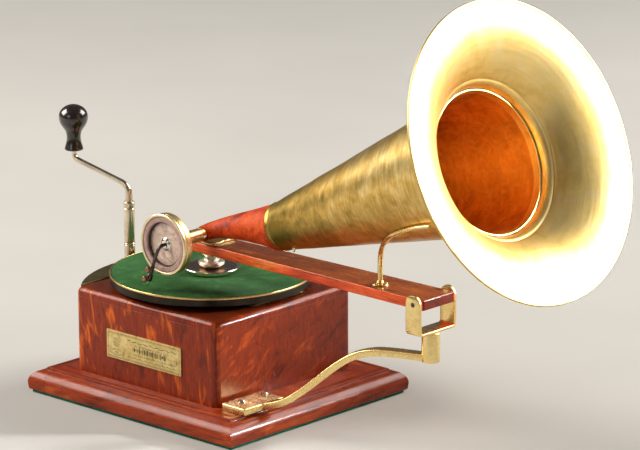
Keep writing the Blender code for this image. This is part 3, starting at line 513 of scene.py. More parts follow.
def turn(bm, layer, outline, steps=64, closed=True, place=Matrix(), shape=None, zone=None):
    # turns (radius, height) points about the local Z of place
    rows, along = [], [0.0]
    for i, (r, z) in enumerate(outline):
        if i:
            along.append(along[-1] + math.hypot(r - outline[i - 1][0], z - outline[i - 1][1]) * mm)
        ring = []
        for k in range(steps if r > 1e-5 else 1):
            a = math.tau * k / steps
            rr, zz = shape(r, z, a) if shape else (r, z)
            ring.append(bm.verts.new((place @ Vector((rr * math.cos(a), rr * math.sin(a), zz))) * mm))
        rows.append(ring)
    spans = [(i, i + 1) for i in range(len(rows) - 1)] + ([(len(rows) - 1, 0)] if closed else [])
    for i, j in spans:
        a, b = rows[i], rows[j]
        end = along[j] if j else along[i] + 0.001
        for k in range(steps):
            n = (k + 1) % steps
            if len(a) == 1 and len(b) == 1:
                break
            if len(a) == 1:
                verts, uvs = (a[0], b[k], b[n]), ((k + 0.5, along[i]), (k, end), (k + 1, end))
            elif len(b) == 1:
                verts, uvs = (a[k], a[n], b[0]), ((k, along[i]), (k + 1, along[i]), (k + 0.5, end))
            else:
                verts = (a[k], a[n], b[n], b[k])
                uvs = ((k, along[i]), (k + 1, along[i]), (k + 1, end), (k, end))
            face = bm.faces.new(verts)
            face.material_index = zone(i) if zone else 0
            for loop, (u, v) in zip(face.loops, uvs):
                loop[layer].uv = (u / steps, v)


def stretchRings(bm, layer, rings, looped=False, zone=None):
    # joins rings of points, each with the same count
    loops = [[bm.verts.new(Vector(p) * mm) for p in ring] for ring in rings]
    count = len(loops[0])
    runs = list(range(len(loops) - 1)) + ([len(loops) - 1] if looped else [])
    along = 0.0
    for i in runs:
        a, b = loops[i], loops[(i + 1) % len(loops)]
        step = (sum((q.co for q in b), Vector()) - sum((q.co for q in a), Vector())).length / count
        for k in range(count):
            n = (k + 1) % count
            face = bm.faces.new((a[k], a[n], b[n], b[k]))
            face.material_index = zone(i, k) if zone else 0
            ends = ((along, k), (along, k + 1), (along + step, k + 1), (along + step, k))
            for loop, (u, v) in zip(face.loops, ends):
                loop[layer].uv = (u, v / count)
        along += step
    if not looped:
        bm.faces.new(loops[0][::-1])
        bm.faces.new(loops[-1])


def plate(bm, outline, low, high, edge=0.4, steps=2, turnBy=Matrix()):
    # a flat plate with its edges eased
    part = bmesh.new()
    part.loops.layers.uv.new("map")
    base = part.faces.new([part.verts.new(Vector((p[0], p[1], low)) * mm) for p in outline])
    grown = bmesh.ops.extrude_face_region(part, geom=[base])["geom"]
    bmesh.ops.translate(part, verts=[v for v in grown if isinstance(v, bmesh.types.BMVert)],
                        vec=(0, 0, (high - low) * mm))
    bmesh.ops.recalc_face_normals(part, faces=part.faces)
    if edge:
        sharp = [e for e in part.edges if e.calc_face_angle(0) > math.radians(32)]
        bmesh.ops.bevel(part, geom=sharp, offset=edge * mm, segments=steps, profile=0.5, affect="EDGES",
                        clamp_overlap=True)
    place = Matrix.Translation(turnBy.translation * mm) @ turnBy.to_3x3().to_4x4()
    bmesh.ops.transform(part, matrix=place, verts=part.verts)
    part.normal_update()
    boxMap(part)
    joinIn(bm, part)


def joinIn(bm, part):
    step = bpy.data.meshes.new("step")
    part.to_mesh(step)
    part.free()
    bm.from_mesh(step)
    bpy.data.meshes.remove(step)


def arcOf(cx, cy, r, start, end, count):
    turns = [math.radians(start + (end - start) * i / count) for i in range(count + 1)]
    return [(cx + r * math.cos(a), cy + r * math.sin(a)) for a in turns]


def roundRect(x0, y0, x1, y1, r, count=6):
    return (arcOf(x1 - r, y1 - r, r, 0, 90, count) + arcOf(x0 + r, y1 - r, r, 90, 180, count)
            + arcOf(x0 + r, y0 + r, r, 180, 270, count) + arcOf(x1 - r, y0 + r, r, 270, 360, count))


def smoothRun(points, perSpan=6):
    # a smooth run through all the points
    p = [Vector(q) for q in points]
    out = []
    for i in range(len(p) - 1):
        a, b, c, d = p[max(i - 1, 0)], p[i], p[i + 1], p[min(i + 2, len(p) - 1)]
        for s in range(perSpan):
            t = s / perSpan
            out.append(0.5 * (2 * b + (c - a) * t + (2 * a - 5 * b + 4 * c - d) * t * t
                              + (3 * b - a - 3 * c + d) * t ** 3))
    return out + [p[-1]]


def finerCopy(name, node, coat, edge, crease=35.0):
    # a merged copy of a CAD solid with its sharp edges eased
    bm = bmesh.new()
    bm.from_mesh(frame["nodes"][node].data)
    for face in bm.faces:
        face.material_index = 0
    bmesh.ops.remove_doubles(bm, verts=bm.verts, dist=2e-6)
    bmesh.ops.dissolve_limit(bm, angle_limit=math.radians(1.0), verts=bm.verts, edges=bm.edges)
    sharp = [e for e in bm.edges if e.calc_face_angle(0) > math.radians(crease)]
    bmesh.ops.bevel(bm, geom=sharp, offset=edge * mm, segments=2, profile=0.5, affect="EDGES",
                    clamp_overlap=True)
    bm.normal_update()
    boxMap(bm)
    return addPiece(name, bm, coat, crease=crease)


def noiseAt(point, scale, seed=0.0):
    return noise.noise(Vector(point) * scale + Vector((seed, seed * 1.7, -seed)))


# Geometry node trees

def newTree(name, *sockets):
    tree = bpy.data.node_groups.new(name, "GeometryNodeTree")
    tree.is_modifier = True
    for label, kind, value in sockets:
        made = tree.interface.new_socket(label, in_out="INPUT", socket_type="NodeSocket" + kind)
        if value is not None:
            made.default_value = value
    tree.interface.new_socket("Geometry", in_out="OUTPUT", socket_type="NodeSocketGeometry")
    return tree, tree.nodes.new("NodeGroupInput").outputs, tree.nodes.new("NodeGroupOutput").inputs


def endTree(tree, instances, inputs, outputs):
    real = addNode(tree, "GeometryNodeRealizeInstances", None, Geometry=instances)
    coated = addNode(tree, "GeometryNodeSetMaterial", None, Geometry=real.outputs[0],
                     Material=inputs["Finish"])
    tree.links.new(coated.outputs[0], outputs["Geometry"])
    return tree


def screwTree():
    # sets a screw on each point, standing along its aim and turned at random
    tree, given, out = newTree("screwsOnPoints", ("Geometry", "Geometry", None), ("Screw", "Object", None),
                               ("Size", "Float", 1.0), ("Seed", "Int", 3), ("Finish", "Material", None))
    aim = addNode(tree, "GeometryNodeInputNamedAttribute", {"data_type": "FLOAT_VECTOR"}, Name="aim")
    stand = addNode(tree, "FunctionNodeAlignRotationToVector", {"axis": "Z"}, Vector=aim.outputs[0])
    chance = addNode(tree, "FunctionNodeRandomValue", {"data_type": "FLOAT"}, Seed=given["Seed"])
    chance.inputs[2].default_value, chance.inputs[3].default_value = 0.0, math.tau
    spin = addNode(tree, "FunctionNodeAxisAngleToRotation", None, Axis=(0, 0, 1), Angle=chance.outputs[1])
    both = addNode(tree, "FunctionNodeRotateRotation", {"rotation_space": "LOCAL"}, Rotation=stand.outputs[0],
                   Rotate_By=spin.outputs[0])
    shape = addNode(tree, "GeometryNodeObjectInfo", None, Object=given["Screw"])
    rows = addNode(tree, "GeometryNodeInstanceOnPoints", None, Points=given["Geometry"],
                   Instance=shape.outputs["Geometry"], Rotation=both.outputs[0], Scale=given["Size"])
    return endTree(tree, rows.outputs[0], given, out)


def ridgeTree():
    # ribs standing round a barrel, as on a knurled edge
    tree, given, out = newTree("ridgesRound", ("Radius", "Float", 0.0026), ("Height", "Float", 0.002),
                               ("Width", "Float", 0.0003), ("Depth", "Float", 0.0004), ("Count", "Int", 24),
                               ("Finish", "Material", None))
    ring = addNode(tree, "GeometryNodeMeshCircle", None, Vertices=given["Count"], Radius=given["Radius"])
    away = addNode(tree, "GeometryNodeInputPosition")
    face = addNode(tree, "FunctionNodeAlignRotationToVector", {"axis": "X"}, Vector=away.outputs[0])
    size = addNode(tree, "ShaderNodeCombineXYZ", None, X=given["Depth"], Y=given["Width"], Z=given["Height"])
    rib = addNode(tree, "GeometryNodeMeshIcoSphere", None, Radius=0.5, Subdivisions=1)
    rows = addNode(tree, "GeometryNodeInstanceOnPoints", None, Points=ring.outputs[0],
                   Instance=rib.outputs[0], Rotation=face.outputs[0], Scale=size.outputs[0])
    return endTree(tree, rows.outputs[0], given, out)


def stitchTree():
    # stitches laid end to end along a line on a surface
    tree, given, out = newTree("stitchesAlong", ("Geometry", "Geometry", None), ("Pitch", "Float", 0.002),
                               ("Length", "Float", 0.0014), ("Width", "Float", 0.0005),
                               ("Finish", "Material", None))
    line = addNode(tree, "GeometryNodeResampleCurve", {"mode": "LENGTH"}, Curve=given["Geometry"],
                   Length=given["Pitch"])
    way = addNode(tree, "GeometryNodeInputTangent")
    lay = addNode(tree, "FunctionNodeAlignRotationToVector", {"axis": "X"}, Vector=way.outputs[0])
    size = addNode(tree, "ShaderNodeCombineXYZ", None, X=given["Length"], Y=given["Width"], Z=given["Width"])
    bead = addNode(tree, "GeometryNodeMeshUVSphere", None, Segments=8, Rings=6, Radius=0.5)
    rows = addNode(tree, "GeometryNodeInstanceOnPoints", None, Points=line.outputs[0],
                   Instance=bead.outputs[0], Rotation=lay.outputs[0], Scale=size.outputs[0])
    return endTree(tree, rows.outputs[0], given, out)


def rodTree():
    # a round rod along a line, as thick as the line's radius says
    tree, given, out = newTree("rodAlong", ("Geometry", "Geometry", None), ("Sides", "Int", 20),
                               ("Thickness", "Float", 1.0), ("Finish", "Material", None))
    ring = addNode(tree, "GeometryNodeCurvePrimitiveCircle", {"mode": "RADIUS"}, Resolution=given["Sides"],
                   Radius=given["Thickness"])
    rod = addNode(tree, "GeometryNodeCurveToMesh", None, Curve=given["Geometry"],
                  Profile_Curve=ring.outputs[0], Fill_Caps=True)
    if "Scale" in rod.inputs:
        tree.links.new(addNode(tree, "GeometryNodeInputRadius").outputs[0], rod.inputs["Scale"])
    smooth = addNode(tree, "GeometryNodeSetShadeSmooth", None, Geometry=rod.outputs[0])
    return endTree(tree, smooth.outputs[0], given, out)


def tickTree():
    # rows of short engraved strokes of uneven length and height
    tree, given, out = newTree("strokeRows", ("Width", "Float", 0.04), ("Height", "Float", 0.003),
                               ("Columns", "Int", 24), ("Rows", "Int", 1), ("Stroke", "Float", 0.0006),
                               ("Seed", "Int", 5), ("Finish", "Material", None))
    grid = addNode(tree, "GeometryNodeMeshGrid", None, Size_X=given["Width"], Size_Y=given["Height"],
                   Vertices_X=given["Columns"], Vertices_Y=given["Rows"])
    chance = addNode(tree, "FunctionNodeRandomValue", {"data_type": "FLOAT_VECTOR"}, Seed=given["Seed"])
    chance.inputs[0].default_value, chance.inputs[1].default_value = (0.35, 0.5, 0.8), (1.25, 1.6, 1.0)
    bar = addNode(tree, "GeometryNodeMeshIcoSphere", None, Radius=0.5, Subdivisions=1)
    size = addNode(tree, "ShaderNodeVectorMath", {"operation": "SCALE"}, Vector=chance.outputs[0],
                   Scale=given["Stroke"])
    flat = addNode(tree, "ShaderNodeVectorMath", {"operation": "MULTIPLY"}, Vector=size.outputs[0])
    flat.inputs[1].default_value = (1.0, 2.6, 0.22)
    rows = addNode(tree, "GeometryNodeInstanceOnPoints", None, Points=grid.outputs[0],
                   Instance=bar.outputs[0], Scale=flat.outputs[0])
    return endTree(tree, rows.outputs[0], given, out)


def growMesh(tree, source, coat, **inputs):
    # runs a tree on a source and gives the plain mesh that comes out
    carrier = bpy.data.objects.new("carrier", source or bpy.data.meshes.new("empty"))
    scene.collection.objects.link(carrier)
    grow = carrier.modifiers.new("grow", "NODES")
    grow.node_group = tree
    sockets = {s.name: s.identifier for s in tree.interface.items_tree
               if s.item_type == "SOCKET" and s.in_out == "INPUT"}
    for key, value in inputs.items():
        grow[sockets[key]] = value
    grow[sockets["Finish"]] = finishes[coat]
    graph = bpy.context.evaluated_depsgraph_get()
    mesh = bpy.data.meshes.new_from_object(carrier.evaluated_get(graph), depsgraph=graph)
    carrier.modifiers.clear()
    bpy.data.objects.remove(carrier, do_unlink=True)
    return mesh


def grownPiece(name, mesh, coat, place=Matrix(), crease=40.0):
    mesh.name = name
    mesh.transform(Matrix.Translation(place.translation * mm) @ place.to_3x3().to_4x4())
    if not len(mesh.materials):
        mesh.materials.append(finishes[coat])
    mesh.shade_smooth()
    mesh.set_sharp_from_angle(angle=math.radians(crease))
    piece = bpy.data.objects.new(name, mesh)
    scene.collection.objects.link(piece)
    return piece


def lineOf(points, radii):
    # a curve of one open spline through the points
    data = bpy.data.curves.new("line", "CURVE")
    data.dimensions = "3D"
    spline = data.splines.new("POLY")
    spline.points.add(len(points) - 1)
    for place, point, radius in zip(spline.points, points, radii):
        place.co, place.radius = (*(Vector(point) * mm), 1.0), radius * mm
    return data


def pointsOf(places, aims):
    mesh = bpy.data.meshes.new("points")
    mesh.from_pydata([Vector(p) * mm for p in places], [], [])
    aim = mesh.attributes.new("aim", "FLOAT_VECTOR", "POINT")
    for item, direction in zip(aim.data, aims):
        item.vector = direction
    return mesh


def slottedScrew(radius, height, slot):
    # a pattern screw standing on its local origin
    bm, layer = blankMesh()
    outline = softened([(radius * 0.96, -0.3), (radius, 0.15), (radius, height * 0.4),
                        (radius * 0.62, height * 0.93), (0, height)], 0.3, False)
    turn(bm, layer, [(0, -0.3)] + outline, 28, False)
    head = addPiece("patternScrew", bm, "nickel")
    knife = blankMesh()[0]
    plate(knife, [(-radius * 2, -slot / 2), (radius * 2, -slot / 2), (radius * 2, slot / 2),
                  (-radius * 2, slot / 2)],
          height * 0.45, height * 2, 0)
    tool = addPiece("slotTool", knife, "nickel")
    carve(head, tool)
    return head


def carve(piece, *tools):
    # cuts with exact booleans, then puts the result in the piece's own mesh
    for tool in tools:
        step = piece.modifiers.new("cut", "BOOLEAN")
        step.operation, step.solver, step.object = "DIFFERENCE", "EXACT", tool
    graph = bpy.context.evaluated_depsgraph_get()
    mesh = bpy.data.meshes.new_from_object(piece.evaluated_get(graph), depsgraph=graph)
    piece.modifiers.clear()
    piece.data = mesh
    mesh.shade_smooth()
    mesh.set_sharp_from_angle(angle=math.radians(38))
    for tool in tools:
        bpy.data.objects.remove(tool, do_unlink=True)
    return piece


def lathe(name, outline, coats, body, slotName, *nodes, place=Matrix(), steps=48, closed=True, ease=0.2,
          zone=None,
          crease=40.0):
    # one turned piece, settled on its body
    bm, layer = blankMesh()
    turn(bm, layer, softened(outline, ease, closed), steps, closed, place, zone=zone)
    return settle(addPiece(name, bm, *coats, crease=crease), body, slotName, *nodes)


def rodPiece(name, points, radii, coat, body, slotName, *nodes, sides=24):
    mesh = growMesh(trees["rod"], lineOf(points, radii), coat, Sides=sides, Thickness=1.0)
    return settle(grownPiece(name, mesh, coat), body, slotName, *nodes)


def screwPiece(name, pattern, places, aims, coat, seed, body, slotName, *nodes, crease=30.0):
    # one piece of many screws; the pattern screw goes away afterwards
    mesh = growMesh(trees["screws"], pointsOf(places, aims), coat, Screw=pattern, Size=1.0, Seed=seed)
    bpy.data.objects.remove(pattern, do_unlink=True)
    return settle(grownPiece(name, mesh, coat, crease=crease), body, slotName, *nodes)


trees = {"screws": screwTree(), "ridges": ridgeTree(), "stitches": stitchTree(), "rod": rodTree(),
         "strokes": tickTree()}
print(len(trees), "node trees built")


# Base and case

base = {"lip": 13.5, "beadIn": 11.0, "beadLow": 8.5, "beadRise": 11.4, "beadSteps": 18}


def makeBase(b):
    low, high = plinthLow, plinthHigh
    profile = [(3.2, low.z), (1.2, low.z + 0.4), (0.7, low.z + 1.2), (0.5, low.z + 2.6)]
    for i in range(b["beadSteps"] + 1):
        a = math.radians(90 * i / b["beadSteps"])
        profile.append((b["beadIn"] * (1 - math.cos(a)), b["beadLow"] + b["beadRise"] * math.sin(a)))
    step = b["lip"] - 1.3
    profile += [(step - 0.7, 19.95), (step - 0.2, 20.1), (step, 20.5), (step, 21.5), (step + 0.15, 22.0),
                (step + 0.6, high.z - 0.08), (step + 1.2, high.z), (b["lip"] + 3.0, high.z),
                (b["lip"] + 3.6, high.z - 0.25), (b["lip"] + 4.2, high.z - 0.25), (b["lip"] + 4.8, high.z)]
    rings = []
    for d, z in profile:
        ring = []
        x0, y0, x1, y1 = low.x + d, low.y + d, high.x - d, high.y - d
        for (ax, ay), (bx, by) in (((x0, y0), (x1, y0)), ((x1, y0), (x1, y1)), ((x1, y1), (x0, y1)),
                                   ((x0, y1), (x0, y0))):
            for k in range(12):
                t = k / 12
                ring.append((ax + (bx - ax) * t, ay + (by - ay) * t, z))
        rings.append(ring)
    bm, layer = blankMesh()
    # front and back runs take the X wood; the side runs take the Y wood, darker by painted shade
    stretchRings(bm, layer, rings, zone=lambda i, k: (k // 12) % 2)
    settle(addPiece("mouldedPlinth", bm, "plinthWoodX", "plinthWoodYShaded", crease=28), "case", "mahogany",
           "plinth")

    low, high = boxOf("base_felt")
    outline = [(x + 0.25 * noiseAt((x, y, 0), 0.3, 2), y + 0.25 * noiseAt((x, y, 0), 0.3, 5))
               for x, y in denser(roundRect(low.x, low.y, high.x, high.y, 2.0), 6.0)]
    bm, layer = blankMesh()
    plate(bm, outline, low.z, high.z + 0.25, 0.35)
    settle(addPiece("feltUnderside", bm, "baseFelt", crease=60), "case", "base_felt", "base_felt")


def denser(outline, pitch):
    out = []
    for i, (x, y) in enumerate(outline):
        nx, ny = outline[(i + 1) % len(outline)]
        parts = max(1, int(math.hypot(nx - x, ny - y) / pitch))
        out += [(x + (nx - x) * s / parts, y + (ny - y) * s / parts) for s in range(parts)]
    return out


caseSet = {"corner": 6.5, "wall": 8.0, "round": 5.5, "roundSteps": 10, "jointGap": 0.08, "spindleHole": 5.0}


def makeCase(c):
    x0, y0, x1, y1 = boardLow.x, boardLow.y, boardHigh.x, boardHigh.y
    centre, wide, deep = Vector(((x0 + x1) / 2, (y0 + y1) / 2, 0)), x1 - x0, y1 - y0
    low, high = boxOf("case_front")
    corner, thick, g = c["corner"], c["wall"], c["jointGap"]
    mitre = corner * (1 - math.cos(math.radians(45)))
    # front and back walls take the front wood; the X-facing walls take the side wood, darker by painted shade
    walls = (("caseFront", "case_front", wide, 0, (0, -deep / 2), "caseFrontWood"),
             ("caseRight", "case_right", deep, 90, (wide / 2, 0), "caseSideWoodShaded"),
             ("caseBack", "case_back", wide, 180, (0, deep / 2), "caseFrontWood"),
             ("caseLeft", "case_left", deep, 270, (-wide / 2, 0), "caseSideWoodShaded"))
    for name, node, length, angle, (dx, dy), coat in walls:
        half = length / 2
        right = arcOf(half - corner, corner, corner, 270, 315, 8)
        left = arcOf(-half + corner, corner, corner, 225, 270, 8)
        right[-1], left[0] = (half - mitre - g, mitre), (-half + mitre + g, mitre)
        outline = right + [(half - thick - g, thick), (-half + thick + g, thick)] + left
        bm, layer = blankMesh()
        spin = Matrix.Rotation(math.radians(angle), 4, "Z")
        place = Matrix.Translation(centre + Vector((dx, dy, 0))) @ spin
        plate(bm, outline, low.z - 0.25, high.z + 0.25, 0.06, 1, place)
        wall = addPiece(name, bm, coat, crease=30)
        if name == "caseLeft":
            tool, layer = blankMesh()
            idler = jointAt("idler_turn")
            plate(tool, roundRect(x0 - 5, idler.y - 20, x0 + thick + 5, idler.y + 20, 1), 77.0, 86.0, 0)
            carve(wall, addPiece("wheelSlot", tool, coat))
        settle(wall, "case", "mahogany", node)

    rings = []
    layers = [(0.06, boardLow.z), (0.0, boardLow.z + 0.1)]
    for i in range(c["roundSteps"] + 1):
        a = math.radians(90 * i / c["roundSteps"])
        layers.append((c["round"] * (1 - math.cos(a)), boardHigh.z - c["round"] * (1 - math.sin(a))))
    for d, z in layers:
        flat = roundRect(x0 + d, y0 + d, x1 - d, y1 - d, max(corner - d * 0.7, 1.0), 8)
        rings.append([(x, y, z) for x, y in flat])
    bm, layer = blankMesh()
    stretchRings(bm, layer, rings)
    bm.normal_update()
    # the top face takes the board wood, the front and back edges the front wood, and the X-facing edges the
    # side wood, darker by painted shade
    for face in bm.faces:
        n = face.normal
        face.material_index = 0 if abs(n.z) > 0.97 else (1 if abs(n.y) >= abs(n.x) else 2)
    board = addPiece("caseBoard", bm, "boardWood", "caseFrontWood", "caseSideWoodShaded", crease=30)
    tool, layer = blankMesh()
    turn(tool, layer, [(0, 80), (c["spindleHole"], 80), (c["spindleHole"], 110), (0, 110)], 40, False,
         Matrix.Translation((spindleAt.x, spindleAt.y, 0)))
    settle(carve(board, addPiece("spindleHole", tool, "boardWood")), "case", "dark_mahogany", "case_top")


plateSet = {"corner": 0.5, "pinIn": 2.6, "pinSize": 0.75, "frameIn": 1.5, "emblem": (-36.5, 54.4),
            "rowsFrom": -23.0, "rowsTo": 38.0}


def makeNamePlate(p):
    low, high = boxOf("name_plate")
    face = low.y
    lay = Matrix.Translation((0, face, 0)) @ Matrix.Rotation(math.pi / 2, 4, "X")
    bm, layer = blankMesh()
    plate(bm, roundRect(low.x, low.z, high.x, high.z, p["corner"]), -1.25, 0.0, 0.25, 2, lay)
    settle(addPiece("namePlate", bm, "namePlate"), "case", "brass", "name_plate")

    bm, layer = blankMesh()
    d = p["frameIn"]
    for inset, broad in ((d, 0.28), (d + 0.9, 0.14)):
        outer = roundRect(low.x + inset, low.z + inset, high.x - inset, high.z - inset, 1.2)
        inner = roundRect(low.x + inset + broad, low.z + inset + broad, high.x - inset - broad,
                          high.z - inset - broad, 1.0)
        rings = [[(x, face - lift, z) for x, z in line] for line, lift in
                 ((outer, -0.1), (outer, 0.03), (inner, 0.03), (inner, -0.1))]
        stretchRings(bm, layer, rings, looped=True)
    ex, ez = p["emblem"]
    for rx, rz, broad, drop in ((8.6, 2.9, 0.45, 5.6), (6.4, 1.9, 0.3, 5.6), (2.0, 0.6, 0.5, 5.6)):
        rows = []
        for grow, lift in ((0, -0.1), (0, 0.035), (-broad, 0.035), (-broad, -0.1)):
            rows.append([(ex + (rx + grow) * math.cos(math.tau * k / 40), face - lift,
                          ez - drop + (rz + grow * 0.7) * math.sin(math.tau * k / 40)) for k in range(40)])
        stretchRings(bm, layer, rows, looped=True)
    x0, x1 = p["rowsFrom"], p["rowsTo"]
    for z, size, waves, broad in ((61.8, 0.9, 7.0, 0.32), (47.2, 0.7, 9.0, 0.22)):
        line = []
        for k in range(161):
            t = k / 160
            a = t * waves * math.tau
            line.append(Vector((x0 + (x1 - x0) * t + 1.1 * math.sin(a * 2), 0, z + size * math.sin(a))))
        rows = []
        for i, q in enumerate(line):
            ahead = (line[min(i + 1, 160)] - line[max(i - 1, 0)]).normalized()
            off = Vector((-ahead.z, 0, ahead.x)) * broad * (0.55 + 0.45 * math.sin(i * 0.35))
            rows.append([(q.x + off.x, face + 0.1, q.z + off.z), (q.x + off.x, face - 0.035, q.z + off.z),
                         (q.x - off.x, face - 0.035, q.z - off.z), (q.x - off.x, face + 0.1, q.z - off.z)])
        stretchRings(bm, layer, rows)
    lines = addPiece("plateLines", bm, "engraving")
    settle(lines, "case", "brass")

    def onFace(x, z, lift=0.0):
        return Matrix.Translation((x, face - lift, z)) @ Matrix.Rotation(math.pi / 2, 4, "X")

    strokes = (((4.0, 55.0), 0.040, 0.0006, 21, 1, 0.00175, 5),
               ((8.0, 50.4), 0.046, 0.0008, 34, 1, 0.00075, 9),
               ((6.0, 58.6), 0.050, 0.0008, 38, 1, 0.0006, 14),
               ((33.5, 52.6), 0.007, 0.004, 6, 3, 0.0007, 21))
    for number, ((x, z), wide, tall, columns, rows, size, seed) in enumerate(strokes, 1):
        mesh = growMesh(trees["strokes"], None, "engraving", Width=wide, Height=tall, Columns=columns,
                        Rows=rows, Stroke=size, Seed=seed)
        settle(grownPiece(f"plateStrokes{number}", mesh, "engraving", onFace(x, z)), "case", "brass")
    for number, (radius, count, long) in enumerate(((0.0034, 14, 0.0030), (0.0014, 8, 0.0016)), 1):
        mesh = growMesh(trees["ridges"], None, "engraving", Radius=radius, Height=0.0002, Width=0.0006,
                        Depth=long, Count=count)
        settle(grownPiece(f"plateRosette{number}", mesh, "engraving", onFace(ex, ez + 3.4)), "case", "brass")

    d = p["pinIn"]
    corners = [(x, face, z) for x in (low.x + d, high.x - d) for z in (low.z + d, high.z - d)]
    screwPiece("platePins", pinHead(p["pinSize"], 0.45), corners, [(0, -1, 0)] * 4, "wornBrass", 2, "case",
               "brass",
               crease=40.0)


def pinHead(radius, height):
    bm, layer = blankMesh()
    dome = [(radius * math.cos(a), height * math.sin(a)) for a in (math.radians(15 * k) for k in range(6))]
    turn(bm, layer, [(0, -0.2), (radius, -0.2)] + dome + [(0, height)], 14, False)
    return addPiece("patternPin", bm, "brass")


makeBase(base)
makeCase(caseSet)
makeNamePlate(plateSet)
print("base, case and plate made")


# Winding handle

crank = {"rod": 3.15, "thin": 2.4, "reach": 56.0, "angle": 195.0, "bend": 169.0, "knobZ": 194.6,
         "lowEnd": 77.5, "teeth": 12, "toothTip": 12.0, "toothDepth": 2.2}


def gearOutline(count, tip, depth):
    tooth = ((0.0, tip - depth), (0.28, tip - depth), (0.42, tip), (0.86, tip))
    return [(r * math.cos(math.tau * (i + part) / count), r * math.sin(math.tau * (i + part) / count))
            for i in range(count) for part, r in tooth]


def makeCrank(c):
    foot = Vector((crankAt.x, crankAt.y, 0))
    out = Vector((math.cos(math.radians(c["angle"])), math.sin(math.radians(c["angle"])), 0))
    low = foot + Vector((0, 0, c["bend"] - 9))
    knee, top = foot + Vector((0, 0, c["bend"])), foot + out * c["reach"] + Vector((0, 0, c["knobZ"] - 7))
    lean = (top - knee).normalized()
    points, radii = [foot + Vector((0, 0, c["lowEnd"])), foot + Vector((0, 0, 150)), low], [c["rod"]] * 3
    for i in range(1, 17):
        t = i / 16
        points.append(low * (1 - t) ** 2 + knee * 2 * t * (1 - t) + (knee + lean * 9) * t * t)
        radii.append(c["rod"] + (c["thin"] - c["rod"]) * t)
    high = foot + out * c["reach"] + Vector((0, 0, c["knobZ"] - 2))
    for i in range(13):
        t = i / 12
        points.append((top - lean * 5) * (1 - t) ** 2 + top * 2 * t * (1 - t) + high * t * t)
        radii.append(c["thin"] * 0.98)
    points.append(foot + out * c["reach"] + Vector((0, 0, c["knobZ"] + 29.5)))
    radii.append(2.2)
    mesh = growMesh(trees["rod"], lineOf(points, radii), "crankNickel", Sides=28, Thickness=1.0)
    bm = bmesh.new()
    bm.from_mesh(mesh)
    plate(bm, [(x + foot.x, y + foot.y) for x, y in gearOutline(c["teeth"], c["toothTip"], c["toothDepth"])],
          79.0, 85.0, 0.2)
    settle(addPiece("crankRod", bm, "crankNickel"), "crank", "nickel", "crank_rod")

    low, high = boxOf("crank_sleeve")
    z0, z1, r = low.z, high.z, (high.x - low.x) / 2
    outline = [(3.55, z0), (r, z0, 0.5), (r, z0 + 30.5), (r - 0.35, z0 + 30.9), (r - 0.35, z0 + 31.5),
               (r, z0 + 31.9), (r, z1 - 1.2), (r - 0.5, z1 - 0.1, 0.3), (3.55, z1)]
    stand = Matrix.Translation(foot)
    lathe("crankSleeve", outline, ["crankNickel"], "crank", "nickel", "crank_sleeve", place=stand, ease=0.15)

    low, high = boxOf("crank_bearing")
    outline = [(3.6, low.z), (7.0, low.z), (7.0, 87.7), (4.85, 87.7), (4.85, high.z - 2.2),
               (4.5, high.z - 2.0),
               (4.5, high.z - 1.4), (4.85, high.z - 1.2), (4.85, high.z - 0.5, 0.3), (4.3, high.z),
               (3.6, high.z)]
    lathe("crankBearing", outline, ["crankNickel"], "case", "nickel", "crank_bearing", place=stand, ease=0.15)

    grip = [(7.3, 0.6), (8.1, 1.0), (8.3, 1.8), (7.9, 3.4), (7.0, 6.6), (6.4, 10.0), (6.3, 13.4), (7.2, 17.4),
            (9.0, 20.4),
            (11.0, 23.4), (12.5, 26.8), (13.0, 30.6), (12.5, 33.8), (10.9, 36.8), (8.4, 39.2), (5.0, 41.0),
            (2.0, 41.7), (0, 41.8)]
    outline = [(q.x, q.y) for q in smoothRun([(r, z, 0) for r, z in grip], 4)]
    outline[-1] = (0, 41.8)
    bm, layer = blankMesh()
    at = foot + out * c["reach"] + Vector((0, 0, c["knobZ"]))
    turn(bm, layer, [(0, 31.2), (2.7, 31.2), (2.7, 0.6)] + outline, 64, False, Matrix.Translation(at))
    settle(addPiece("crankKnob", bm, "ebony", crease=50), "knob", "ebony", "crank_knob")
    settle(finerCopy("windingBracket", "winding_bracket", "bronze", 0.9), "case", "bronze", "winding_bracket")


makeCrank(crank)
print("winding handle made")


# Turntable

table = {"rim": 89.0, "under": 100.7, "web": 106.2, "rimLow": 102.6, "lip": 110.8, "deck": 109.6,
         "feltTop": 110.7,
         "feltR": 87.4, "clampR": 25.0, "holeR": 1.35, "holeRows": ((122.8, 4.6, 18), (117.9, 9.2, 63))}


